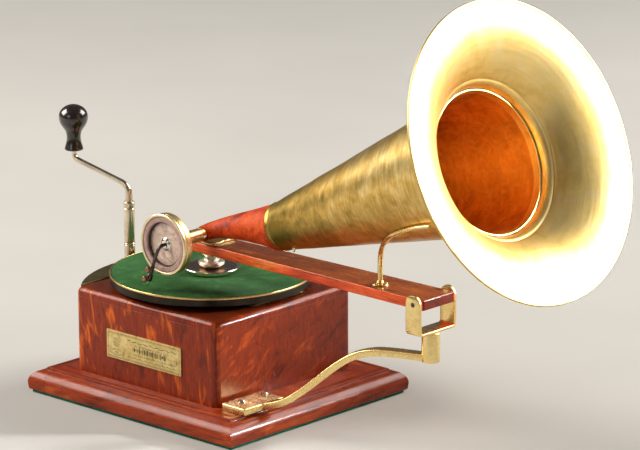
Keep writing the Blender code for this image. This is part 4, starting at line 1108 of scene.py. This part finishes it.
def makeTurntable(t):
    place = Matrix.Translation((spindleAt.x, spindleAt.y, 0))
    r = t["rim"]
    deck = [(3.7, t["under"]), (13.0, t["under"]), (13.0, t["web"]), (r - 4.4, t["web"]), (r - 4.4, 103.4),
            (r - 3.4, t["rimLow"]), (r - 0.8, t["rimLow"]), (r, 103.4), (r, 109.2), (r, 109.5),
            (r, 110.4, 0.3),
            (r - 0.45, t["lip"], 0.3), (r - 1.1, t["lip"], 0.3), (r - 1.2, t["deck"]), (3.7, t["deck"])]
    bm, layer = blankMesh()
    outline = softened(deck, 0.25)
    # the lip, the deck and the top of the rim side take the worn brass; the lower rim side, the underside and
    # the bore take the near-black painted shade
    split = max(i for i, q in enumerate(outline) if abs(q[0] - r) < 0.01 and q[1] <= 109.21)
    turn(bm, layer, outline, 180, True, place, zone=lambda i: 0 if split <= i < len(outline) - 2 else 1)
    settle(addPiece("platter", bm, "wornBrass", "rimPaintedShade"), "turntable", "brass", "turntable_platter")

    def nap(radius, z, a):
        lift = 0.10 * noiseAt((radius * math.cos(a), radius * math.sin(a), 0), 0.11,
                              3) if z > t["deck"] + 0.3 else 0
        return radius * (1 + 0.0008 * noiseAt((math.cos(a) * 9, math.sin(a) * 9, z), 1.0)), z + lift

    runs = [4.0 + (t["feltR"] - 4.6) * i / 30 for i in range(31)]
    pad = [(4.0, t["deck"] + 0.05), (t["feltR"] - 0.3, t["deck"] + 0.05), (t["feltR"], t["deck"] + 0.5),
           (t["feltR"] - 0.25, t["feltTop"] - 0.12)] + [(q, t["feltTop"]) for q in runs[::-1]]
    bm, layer = blankMesh()
    turn(bm, layer, pad, 120, True, place, nap)
    settle(addPiece("turntableFelt", bm, "turntableFelt", crease=60), "turntable", "felt", "turntable_felt")

    low = boxOf("clamp_disc")[0].z
    c = t["clampR"]
    dish = [(4.0, low - 0.2), (c - 1, low - 0.2), (c, 111.8, 0.6), (c, 114.5, 0.6), (c - 0.6, 115.2, 0.5),
            (c - 1.7, 115.1, 0.5), (c - 3.4, 114.1, 0.8), (16.0, 113.9), (9.0, 114.0), (4.0, 114.0)]
    bm, layer = blankMesh()
    outline = softened(dish, 0.3)
    # the dished top inside the raised edge takes the dark brown painted reflection; the rest is nickel
    inside = min(i for i, q in enumerate(outline) if q[1] > 114.05 and q[0] < c - 2.2)
    turn(bm, layer, outline, 96, True, place, zone=lambda i: 1 if i >= inside else 0)
    settle(addPiece("clampDisc", bm, "nickel", "clampTopPaintedReflection"), "turntable", "nickel", "clamp_disc")

    nut = [(3.8, 129.6), (3.8, 114.4), (8.0, 114.4), (10.6, 115.6, 0.8), (11.6, 117.2, 0.5),
           (11.6, 118.8, 0.5), (9.6, 119.9, 0.6),
           (6.6, 120.9, 0.8), (6.1, 122.6, 1.0), (6.2, 124.4, 1.0), (8.4, 125.7, 0.7), (8.9, 126.6, 0.3),
           (8.9, 129.4, 0.5), (7.8, 130.9, 0.6), (5.0, 131.5, 1.0), (0, 131.6)]
    bm, layer = blankMesh()
    turn(bm, layer, [(0, 129.6)] + softened(nut, 0.2, False), 72, False, place)
    piece = addPiece("clampNut", bm, "nutNickel")
    tools = []
    for z, near, first in t["holeRows"]:
        for side in range(4):
            spin = Matrix.Rotation(math.radians(first + 90 * side), 4, "Z")
            lay = spin @ Matrix.Rotation(math.pi / 2, 4, "Y")
            drill = Matrix.Translation((spindleAt.x, spindleAt.y, z)) @ lay
            tool, toolMap = blankMesh()
            turn(tool, toolMap, [(0, near), (t["holeR"], near), (t["holeR"], 14), (0, 14)], 18, False, drill)
            tools.append(addPiece("drill", tool, "nickel"))
    settle(carve(piece, *tools), "clamp_nut", "nickel", "clamp_nut")


makeTurntable(table)
settle(finerCopy("brakeLever", "brake_lever", "bronze", 0.15), "brake", "brass", "brake_lever")
print("turntable made")


# Horn bracket, yoke and arm

bracket = {"from": (100.0, -63.0), "half": 5.2, "thick": 3.0, "corner": 1.0, "postR": 7.75, "postLow": 84.2,
           "postTop": 110.2,
           "boreR": 4.4, "footLow": (88.0, -85.0), "footHigh": (115.0, -36.5), "footTop": 28.4,
           "screws": ((98.5, -71.5), (97.0, -42.0)), "screwR": 3.4,
           "rise": ((-0.005, 22.9), (0.05, 22.9), (0.10, 23.4), (0.14, 25.0), (0.19, 28.0), (0.24, 32.4),
                    (0.295, 38.9),
                    (0.35, 46.3), (0.405, 54.1), (0.46, 62.0), (0.515, 69.2), (0.57, 75.5), (0.625, 79.9),
                    (0.68, 82.6), (0.73, 83.9), (0.80, 84.5), (0.89, 84.7), (1.0, 84.8))}


def makeBracket(b):
    start, end = Vector((*b["from"], 0)), Vector((pivotAt.x, pivotAt.y, 0))
    heading, length = (end - start).normalized(), (end - start).length
    side = Vector((-heading.y, heading.x, 0))
    run = smoothRun([start + heading * s * length + Vector((0, 0, z)) for s, z in b["rise"]], 6)
    bm, layer = blankMesh()
    rings = []
    for i, point in enumerate(run):
        along = (run[min(i + 1, len(run) - 1)] - run[max(i - 1, 0)]).normalized()
        lift = along.cross(side).normalized()
        lift = lift if lift.z > 0 else -lift
        centre = point + lift * b["thick"]
        # the tongue on the foot plate is rounded
        half = b["half"] * (1.0 - 0.55 * (1.0 - min(1.0, i / 4)) ** 2)
        section = roundRect(-half, -b["thick"], half, b["thick"], b["corner"], 3)
        rings.append([centre + side * u + lift * v for u, v in section])
    stretchRings(bm, layer, rings)
    r, z0, z1 = b["postR"], b["postLow"], b["postTop"]
    post = [(0, z0), (r - 0.5, z0, 0.3), (r, z0 + 0.6, 0.5), (r, z1 - 0.7, 0.5), (r - 0.6, z1, 0.4),
            (b["boreR"] + 0.4, z1), (b["boreR"], z1 - 0.5), (b["boreR"], z0 + 6), (0, z0 + 6)]
    turn(bm, layer, softened(post, 0.2, False), 64, False, Matrix.Translation(end))
    (x0, y0), (x1, y1) = b["footLow"], b["footHigh"]
    plate(bm, roundRect(x0, y0, x1, y1, 1.6), plinthHigh.z + 0.05, b["footTop"], 0.8, 3)
    settle(addPiece("hornBracket", bm, "brass", crease=32), "case", "brass", "bracket_bar")

    places = [(x, y, b["footTop"]) for x, y in b["screws"]]
    screwPiece("footScrews", slottedScrew(b["screwR"], 2.0, 0.9), places, [(0, 0, 1)] * 2, "nickel", 7,
               "case",
               "nickel", "foot_screw_1", "foot_screw_2")


yokeSet = {"gap": 40.4, "thick": 2.5, "wide": 16.0, "corner": 3.4, "earRise": 7.95, "pinHole": 2.1,
           "stemR": 4.0, "stemLow": 91.5}


def makeYoke(y):
    bottom = pivotAt.z - 27.0
    mid = y["gap"] / 2 + y["thick"] / 2
    floor = bottom + y["thick"] / 2
    ear = [pivotAt.z + y["earRise"] * math.cos(math.radians(90 * k / 14)) for k in range(15)]
    left = [(-mid, z) for z in ear] + [(-mid, pivotAt.z - s) for s in (5.0, 12.0, 18.0)]
    bend = arcOf(-mid + y["corner"], floor + y["corner"], y["corner"], 180, 270, 8)
    line = left + bend + [(0.0, floor)]
    line += [(-a, z) for a, z in (left + bend)[::-1]]
    rings = []
    for i, (a, z) in enumerate(line):
        pa, pz = line[max(i - 1, 0)]
        na, nz = line[min(i + 1, len(line) - 1)]
        along = Vector((na - pa, nz - pz)).normalized()
        inward = Vector((-along.y, along.x))
        rise = max(0.0, z - pivotAt.z)
        half = math.sqrt(max((y["wide"] / 2) ** 2 - rise ** 2, 0.04))
        section = roundRect(-half, -y["thick"] / 2, half, y["thick"] / 2, min(0.5, half * 0.5), 2)
        rings.append([(pivotAt.x + u, pivotAt.y + a + inward.x * v, z + inward.y * v) for u, v in section])
    bm, layer = blankMesh()
    stretchRings(bm, layer, rings)
    piece = addPiece("yokeStrap", bm, "brass", crease=32)
    tool, toolMap = blankMesh()
    turn(tool, toolMap, [(0, -40), (y["pinHole"], -40), (y["pinHole"], 40), (0, 40)], 32, False,
         Matrix.Translation(pivotAt) @ Matrix.Rotation(math.pi / 2, 4, "X"))
    carve(piece, addPiece("pinHole", tool, "brass"))
    settle(piece, "yoke", "brass", "yoke")
    stem = [(0, y["stemLow"]), (y["stemR"], y["stemLow"]), (y["stemR"], bottom + 1.2), (0, bottom + 1.2)]
    lathe("yokeStem", stem, ["wornBrass"], "yoke", "brass",
          place=Matrix.Translation((pivotAt.x, pivotAt.y, 0)),
          steps=40, closed=False, ease=0.3)
    for number, sign in ((1, -1), (2, 1)):
        inner, outer = y["gap"] / 2, y["gap"] / 2 + y["thick"]
        pin = [(0, inner - 8), (1.9, inner - 8), (1.9, outer - 0.3), (1.6, outer + 0.15), (0, outer + 0.3)]
        lathe(f"pivotPin{number}", pin, ["darkSteel"], "arm", "nickel", f"pivot_screw_{number}", steps=32,
              closed=False, place=Matrix.Translation(pivotAt) @ Matrix.Rotation(-sign * math.pi / 2, 4, "X"))


arm = {"edge": 1.3, "widthIn": 30.0, "widthOut": 39.6,
       "saddleScrews": ((-1.4, -23.6), (18.4, -23.6), (-1.4, -0.6), (18.4, -0.6))}


def makeArm(a):
    low, high = armLow, armHigh
    y = pivotAt.y
    i, o = a["widthIn"] / 2, a["widthOut"] / 2
    outline = softened([(low.x, y - i, 3), (high.x, y - o, 2.6), (high.x, y + o, 2.6), (low.x, y + i, 3)], 3,
                       True, 5)
    bm = blankMesh()[0]
    plate(bm, outline, low.z, high.z, a["edge"], 4)
    # the plank's sides take the arm wood; its top and its ends take darker copies with painted shade
    for face in bm.faces:
        face.material_index = 1 if face.normal.z > 0.8 else (2 if abs(face.normal.x) > 0.6 else 0)
    plank = addPiece("armPlank", bm, "armWood", "armTopWoodShaded", "armEndWoodShaded", crease=50)
    settle(plank, "arm", "arm_wood", "arm")

    low, high = boxOf("saddle_plate")
    bm = blankMesh()[0]
    plate(bm, roundRect(low.x, low.y, high.x, high.y, 1.6), low.z - 0.25, high.z, 0.3, 2)
    settle(addPiece("saddlePlate", bm, "wornBrass"), "arm", "brass", "saddle_plate")
    places = [(x, y, high.z) for x, y in a["saddleScrews"]]
    screwPiece("saddleScrews", slottedScrew(1.7, 1.0, 0.5), places, [(0, 0, 1)] * 4, "brass", 11, "arm",
               "brass")


stay = {"foot": (209.0, -18.5), "rod": 2.2, "tip": 1.5, "clear": 2.7, "screwRing": 5.2,
        "coneR": 20.5, "coneGrow": 40.0 / 246.0,
        "hug": ((134.6, 31.9), (150.7, 43.2), (163.2, 47.3), (180.0, 50.2), (193.6, 51.1), (208.0, 50.4))}


def hornPoint(along, radius, angle):
    # a point by the horn: along its axis, away from it, angle from the underside towards the front
    axis = Vector((math.cos(hornRise), 0, math.sin(hornRise)))
    down = Vector((math.sin(hornRise), 0, -math.cos(hornRise)))
    return hornFoot + axis * along + (down * math.cos(angle) + Vector((0, -1, 0)) * math.sin(angle)) * radius


def makeStay(s):
    fx, fy = s["foot"]
    run = [Vector((fx, fy, armHigh.z + 3.6)), Vector((fx, fy, 152.0)), Vector((fx, fy, 160.0)),
           Vector((fx + 3.0, fy - 2.5, 170.0)), Vector((fx + 12.0, fy - 10.5, 179.0))]
    for along, angle in s["hug"]:
        run.append(hornPoint(along, s["coneR"] + s["coneGrow"] * along + s["clear"], math.radians(angle)))
    run = smoothRun(run, 8)
    thinFrom = 0.3
    slim = [max(0.0, i / (len(run) - 1) - thinFrom) / (1 - thinFrom) for i in range(len(run))]
    radii = [s["rod"] - (s["rod"] - s["tip"]) * t for t in slim]
    rodPiece("hornStay", run, radii, "brass", "arm", "brass", "horn_stay")

    z = armHigh.z
    outline = [(0, z + 0.05), (7.5, z + 0.05, 0.3), (7.5, z + 1.1, 0.3), (6.4, z + 1.5, 0.5),
               (3.6, z + 1.9, 1.0), (2.7, z + 2.8, 0.8), (2.5, z + 4.0, 0.4), (0, z + 4.1)]
    lathe("stayFoot", outline, ["wornBrass"], "arm", "brass", "stay_foot",
          place=Matrix.Translation((fx, fy, 0)),
          closed=False, ease=0.3)
    places = [(fx + s["screwRing"] * math.cos(q), fy + s["screwRing"] * math.sin(q), z + 1.5)
              for q in (0.4, 0.4 + math.tau / 3, 0.4 + 2 * math.tau / 3)]
    screwPiece("stayScrews", slottedScrew(1.3, 0.8, 0.4), places, [(0, 0, 1)] * 3, "brass", 4, "arm", "brass")


makeBracket(bracket)
makeYoke(yokeSet)
makeArm(arm)
makeStay(stay)
print("bracket, yoke and arm made")


# Soundbox

box = {"r": 27.0, "tilt": 20.6, "tubeR": 5.9, "tubeTo": 48.7, "bossR": 8.2, "turns": 120}


def makeSoundbox(s):
    place = Matrix.Translation(soundboxAt) @ Matrix.Rotation(-math.pi / 2, 4, "X")
    r = s["r"]

    def lathed(name, outline, coat, slotName, *nodes, steps=s["turns"], ease=0.25):
        lathe(name, outline, [coat], "arm", slotName, *nodes, place=place, steps=steps, ease=ease)

    lathed("soundboxRim", [(24.5, 2.7), (24.2, 1.0, 0.2), (24.7, 0.15, 0.4), (26.3, 0.0, 0.5), (r, 0.6, 0.5),
                           (r, 2.75, 0.2)],
           "boxRim", "brass", "soundbox_ring")
    lathed("soundboxBand", [(19.5, 2.85), (19.5, 1.3, 0.4), (20.3, 0.85, 0.5), (23.4, 0.7, 0.5),
                            (24.15, 1.2, 0.3), (24.15, 2.85)],
           "bandRubber", "gasket")
    lathed("soundboxGasket", [(18.3, 2.9), (24.1, 2.9), (24.1, 4.3), (18.3, 4.3)], "gasketRubber", "gasket",
           "soundbox_gasket")
    sheet = softened([(0, 2.4), (3.4, 2.5, 0.4), (4.6, 3.0, 0.5), (5.4, 3.9, 0.4), (6.4, 4.3), (10.6, 4.38),
                      (11.4, 4.2, 0.3), (12.2, 4.4, 0.3), (23.8, 4.42), (23.8, 4.9), (0, 4.9)], 0.4, False)
    boss = sum(1 for q in sheet if q[0] < 5.6 and q[1] < 4.05)
    bm, layer = blankMesh()
    turn(bm, layer, sheet, s["turns"], False, place, zone=lambda i: 1 if i < boss else 0)
    settle(addPiece("diaphragm", bm, "mica", "nickel"), "arm", "mica", "diaphragm")
    cup = [(6.4, 12.0), (9.4, 12.6, 0.4), (10.2, 12.0, 0.3), (24.6, 12.0, 1.4), (26.6, 9.8, 1.6),
           (26.6, 4.2, 0.2), (26.3, 3.9, 0.15),
           (26.3, 3.4, 0.15), (26.6, 3.1, 0.15), (26.6, 2.85), (24.6, 2.85), (24.6, 9.0), (6.4, 9.0)]
    lathed("soundboxBack", cup, "boxBrass", "brass", "soundbox_back", ease=0.2)
    low = 9.6
    tube = [(4.9, low), (s["tubeR"], low), (s["tubeR"], 12.3, 0.2), (s["bossR"], 12.5, 0.3),
            (s["bossR"], 15.6, 0.5), (7.2, 16.6, 0.8),
            (6.2, 17.4, 0.6), (s["tubeR"], 19.0, 0.8), (s["tubeR"], 44.0), (s["tubeR"] + 0.35, 44.4),
            (s["tubeR"] + 0.35, 45.2), (s["tubeR"], 45.6), (s["tubeR"], s["tubeTo"]), (4.9, s["tubeTo"])]
    lathed("soundTube", tube, "boxBrass", "brass", "sound_tube", steps=48, ease=0.2)

    tilt = math.radians(s["tilt"])
    down, out = Vector((-math.sin(tilt), 0, -math.cos(tilt))), Vector((0, -1, 0))

    def point(u, v):
        return soundboxAt + down * u + out * v

    aims = [Vector((math.cos(a), 0, math.sin(a))) for a in (1.0, 2.6)]
    places = [soundboxAt + Vector((0, 14.2, 0)) + aim * s["bossR"] for aim in aims]
    screwPiece("soundboxScrews", slottedScrew(1.5, 0.9, 0.45), places, aims, "nickel", 8, "arm", "nickel")

    route = [point(0, -3.9), point(0.1, -1.2), point(0.8, 1.4), point(2.8, 3.2), point(6.0, 4.1),
             point(11.0, 4.6), point(18.0, 4.8), point(24.0, 4.8), point(29.5, 4.8)]
    run = smoothRun(route, 6)
    radii = [1.7 - 0.2 * min(1.0, i / 14) + 0.2 * max(0.0, (i - 34) / 14) for i in range(len(run))]
    mesh = growMesh(trees["rod"], lineOf(run, radii), "darkSteel", Sides=18, Thickness=1.0)
    bm = bmesh.new()
    bm.from_mesh(mesh)
    layer = bm.loops.layers.uv.get("map") or bm.loops.layers.uv.new("map")
    lean = down.to_track_quat("Z", "Y").to_matrix().to_4x4()
    chuck = softened([(0, -3.6), (1.6, -3.6, 0.3), (2.5, -2.6, 0.4), (2.5, 2.2, 0.4), (1.9, 3.5, 0.4),
                      (1.0, 3.6), (1.0, -1.0), (0, -1.0)],
                     0.2, False)
    turn(bm, layer, chuck, 28, False, Matrix.Translation(point(31.5, 4.8)) @ lean)
    collar = softened([(0, -1.6), (1.9, -1.6, 0.3), (1.9, 1.6, 0.3), (0, 1.6)], 0.2, False)
    turn(bm, layer, collar, 24, False, Matrix.Translation(point(22.5, 4.8)) @ lean)
    settle(addPiece("stylusBar", bm, "darkSteel"), "stylus", "steel", "stylus_bar")

    low = boxOf("needle")[0].z
    tip = (soundboxAt.z - low) / math.cos(tilt)
    bm, layer = blankMesh()
    long = tip - 31.5
    shank = [(0, 0), (0.08, 0.15), (0.35, 1.6), (0.6, 2.9), (0.68, 3.4), (0.68, long), (0, long)]
    lean = (-down).to_track_quat("Z", "Y").to_matrix().to_4x4()
    turn(bm, layer, shank, 20, False, Matrix.Translation(point(tip, 4.8)) @ lean)
    settle(addPiece("needle", bm, "nickel"), "stylus", "steel", "needle")

    for name, node, body, u, v in (("needleScrew", "needle_screw", "needle_screw", 31.5, 7.3),
                                   ("barScrew", "bar_screw", "bar_screw", 22.5, 6.2)):
        stand = Matrix.Translation(point(u, v)) @ Matrix.Rotation(math.pi / 2, 4, "X")
        head = [(0, -0.6), (1.1, -0.6), (1.1, 1.6), (2.2, 2.0, 0.2), (2.45, 2.6, 0.3), (2.45, 4.5, 0.3),
                (2.0, 5.15, 0.3), (0.9, 5.2, 0.3), (0.7, 4.9), (0, 4.9)]
        mesh = growMesh(trees["ridges"], None, "copper", Radius=0.00245, Height=0.0024, Width=0.00042,
                        Depth=0.0005, Count=22)
        mesh.transform(Matrix.Translation((0, 0, 3.5 * mm)))
        mesh.transform(Matrix.Translation(stand.translation * mm) @ stand.to_3x3().to_4x4())
        bm, layer = blankMesh()
        bm.from_mesh(mesh)
        turn(bm, layer, softened(head, 0.15, False), 40, False, stand)
        settle(addPiece(name, bm, "copper"), body, "copper", node)


makeSoundbox(box)
print("soundbox made")


# Leather elbow and horn

elbow = {"from": 6.9, "to": 20.8, "wall": 0.7, "rings": 56, "sides": 72, "stitch": 0.0024}


def makeElbow(e):
    path = (Vector((soundboxAt.x, -27.0, soundboxAt.z)), Vector((soundboxAt.x, -8.0, soundboxAt.z + 3.0)),
            Vector((54.0, -13.0, 163.0)), hornFoot)

    def spot(t):
        s = 1 - t
        return path[0] * s ** 3 + path[1] * 3 * s * s * t + path[2] * 3 * s * t * t + path[3] * t ** 3

    frames = []
    for i in range(e["rings"] + 1):
        t = i / e["rings"]
        heading = (spot(min(t + 0.01, 1)) - spot(max(t - 0.01, 0))).normalized()
        if t > 0.995:
            heading = Vector((math.cos(hornRise), 0, math.sin(hornRise)))
        across = heading.cross(Vector((0, 0, 1))).normalized()
        frames.append((t, spot(t), across, across.cross(heading)))

    def skinPoint(t, centre, across, up, a, inset):
        r = e["from"] + (e["to"] - e["from"]) * t ** 1.9
        bend = max(0.0, math.cos(a - math.pi * 0.05)) * math.exp(-((t - 0.42) / 0.22) ** 2)
        pleat = 0.55 * math.sin(t * 46 + 1.2 * math.sin(a * 2)) * bend
        sag = 0.45 * noiseAt((math.cos(a) * 1.6, math.sin(a) * 1.6, t * 7), 1.0,
                             4) * math.sin(math.pi * min(t * 1.05, 1.0))
        seam = 0.35 * math.exp(-((a - math.pi / 2) / 0.10) ** 2)
        cuff = 0.5 * math.exp(-((t - 0.985) / 0.012) ** 2) + 0.35 * math.exp(-((t - 0.02) / 0.02) ** 2)
        r += (pleat + sag + seam + cuff) * (0.35 + 0.65 * min(1.0, t * 2)) - inset
        return centre + across * r * math.cos(a) + up * r * math.sin(a)

    layers = []
    for inset in (0.0, e["wall"]):
        layers.append([[skinPoint(t, c, x, u, math.tau * k / e["sides"], inset) for k in range(e["sides"])]
                       for t, c, x, u in frames])
    bm, layer = blankMesh()
    stretchRings(bm, layer, layers[0] + layers[1][::-1], looped=True)
    settle(addPiece("leatherElbow", bm, "leather", crease=55), "arm", "leather", "leather_elbow")

    for number, angle in ((1, math.pi / 2 - 0.16), (2, math.pi / 2 + 0.16)):
        line = [skinPoint(t, c, x, u, angle, -0.08) for t, c, x, u in frames[2:-2]]
        mesh = growMesh(trees["stitches"], lineOf(line, [1.0] * len(line)), "thread", Pitch=e["stitch"],
                        Length=e["stitch"] * 0.7, Width=0.0005)
        settle(grownPiece(f"elbowStitches{number}", mesh, "thread"), "arm", "leather")


horn = {"length": 246.0, "r0": 20.5, "r1": 60.5, "wall": 1.2, "rimL": 288.4, "rimR": 124.2, "neckR": 60.7,
        "creaseR": 66.5,
        "creaseL": 257.0, "bend": 2.3, "turns": 200, "dent": 0.28, "wave": 0.5}


def makeHorn(h):
    place = Matrix.Translation(hornFoot) @ Matrix.Rotation(math.pi / 2 - hornRise, 4, "Y")

    def beaten(r, z, a):
        p = (math.cos(a) * r, math.sin(a) * r, z)
        fade = min(1.0, max(0.0, (z - 3) / 20)) * min(1.0, max(0.0, (245 - z) / 8))
        return r + fade * h["dent"] * (noiseAt(p, 0.045, 1) + 0.5 * noiseAt(p, 0.11, 7)), z

    slope = (h["r1"] - h["r0"]) / (h["length"] + 2.6)
    outer = [(h["r0"] + slope * (h["length"] + 3) * i / 44,
              0.4 + (h["length"] + 1.4) * i / 44) for i in range(45)]
    inner = [(r - h["wall"], z) for r, z in outer[::-1]]
    foot = [(h["r0"] - h["wall"], 0.4), (h["r0"] + 0.1, 0.4), (h["r0"] + 0.75, 0.8), (h["r0"] + 0.95, 1.6),
            (h["r0"] + 0.7, 2.5), (h["r0"] + 0.5, 3.0)]
    mouth = [(h["r1"] + 0.05, h["length"] + 2.6), (h["r1"] - 0.25, h["length"] + 3.0),
             (h["r1"] - 0.75, h["length"] + 3.0),
             (h["r1"] - 1.15, h["length"] + 2.6), (h["r1"] - 1.2, h["length"] + 1.9)]
    outline = foot + outer[1:] + mouth + inner[1:-1]
    first, last = len(foot) + len(outer) - 2, len(foot) + len(outer) - 1 + len(mouth)
    bm, layer = blankMesh()
    turn(bm, layer, outline, h["turns"], True, place, beaten,
         zone=lambda i: 0 if i < first else (2 if i < last else 1))
    settle(addPiece("hornCone", bm, "hornOutside", "hornInside", "bellFace", crease=50), "arm", "horn_brass",
           "horn_cone")

    inside = [(h["neckR"], h["length"] - 4), (h["neckR"] + 0.4, h["length"]), (61.6, 249.0), (62.2, 251.2),
              (63.0, 253.2), (64.1, 254.9),
              (65.3, 256.2), (h["creaseR"], h["creaseL"]), (h["creaseR"] + 0.6, h["creaseL"] + 0.25)]
    for i in range(0, 27):
        t = 0.02 + 0.98 * (i / 26) ** 1.25
        inside.append((h["creaseR"] + (h["rimR"] - h["creaseR"]) * t,
                       h["creaseL"] + (h["rimL"] - h["creaseL"]) * (1 - (1 - t) ** h["bend"])))
    outside = [(r + 1.2 - 0.2 * i / len(inside), z - 1.25) for i, (r, z) in enumerate(inside)]
    outside[0] = (h["neckR"] + 1.4, h["length"] - 4)
    rr, rl = h["rimR"], h["rimL"]
    rim = [(rr + 0.5, rl + 0.45), (rr + 1.1, rl + 0.6), (rr + 1.8, rl + 0.35), (rr + 2.2, rl - 0.3),
           (rr + 2.2, rl - 1.1), (rr + 1.9, rl - 1.8), (rr + 1.2, rl - 2.1)]
    outline = inside + rim + outside[-2::-1]

    def wavy(r, z, a):
        p = (math.cos(a) * r, math.sin(a) * r, z)
        edge = max(0.0, (r - 84) / 42)
        lift = h["wave"] * edge * noiseAt((math.cos(a) * 1.5, math.sin(a) * 1.5, 0), 1.0, 3)
        body = 0.10 * noiseAt(p, 0.05, 9) + 0.05 * noiseAt(p, 0.13, 2)
        return r + lift * 0.9 + body, z + lift + body

    bm, layer = blankMesh()
    turn(bm, layer, outline, h["turns"], True, place, wavy, zone=lambda i: 0 if i < len(inside) + 4 else 1)
    settle(addPiece("hornBell", bm, "bellFace", "bellBack", crease=60), "arm", "horn_brass", "horn_bell")

    eye = hornPoint(17.0, 23.2, math.radians(26))
    away = (eye - hornPoint(17.0, 0.0, 0.0)).normalized()
    lug = [(0, -0.8), (1.9, -0.8), (1.9, 0.6, 0.3), (1.0, 1.3, 0.4), (0.8, 2.0), (1.2, 2.6, 0.3),
           (0.8, 3.1, 0.3),
           (0, 3.2)]
    lathe("hornLug", lug, ["brass"], "arm", "brass", steps=24, closed=False,
          place=Matrix.Translation(eye) @ away.to_track_quat("Z", "Y").to_matrix().to_4x4())
    seam = [hornPoint(z, h["r0"] + slope * z + 0.05,
                      math.radians(-168)) for z in [6 + 232 * i / 24 for i in range(25)]]
    rodPiece("hornSeam", seam, [0.45] * 25, "bellBack", "arm", "horn_brass", sides=10)


makeElbow(elbow)
makeHorn(horn)
print("elbow and horn made")


# Clockwork inside the case keeps its CAD shapes

clockwork = {
    "movementSteel": ("spindle", "motor_bottom_plate", "motor_top_plate", "idler_bridge", "mainspring",
                      "governor_shaft"),
    "movementBrass": ("motor_pillar_1", "motor_pillar_2", "motor_pillar_3", "motor_pillar_4",
                      "governor_bracket_1",
                      "governor_bracket_2", "idler_wheel", "winding_arbor", "spring_barrel", "middle_arbor",
                      "governor_weight_1", "governor_weight_2", "governor_weight_3"),
}
for coat, nodes in clockwork.items():
    for node in nodes:
        solid = frame["nodes"][node]
        for index in range(len(solid.material_slots)):
            solid.material_slots[index].material = finishes[coat]
print("clockwork coated")

bm = bmesh.new()
half = 12.0
corners = ((-half, -half), (half, -half), (half, half), (-half, half))
bm.faces.new([bm.verts.new((x, y, 0)) for x, y in corners])
bm.loops.layers.uv.new("map")
floorPiece = addPiece("floor", bm, "floor")
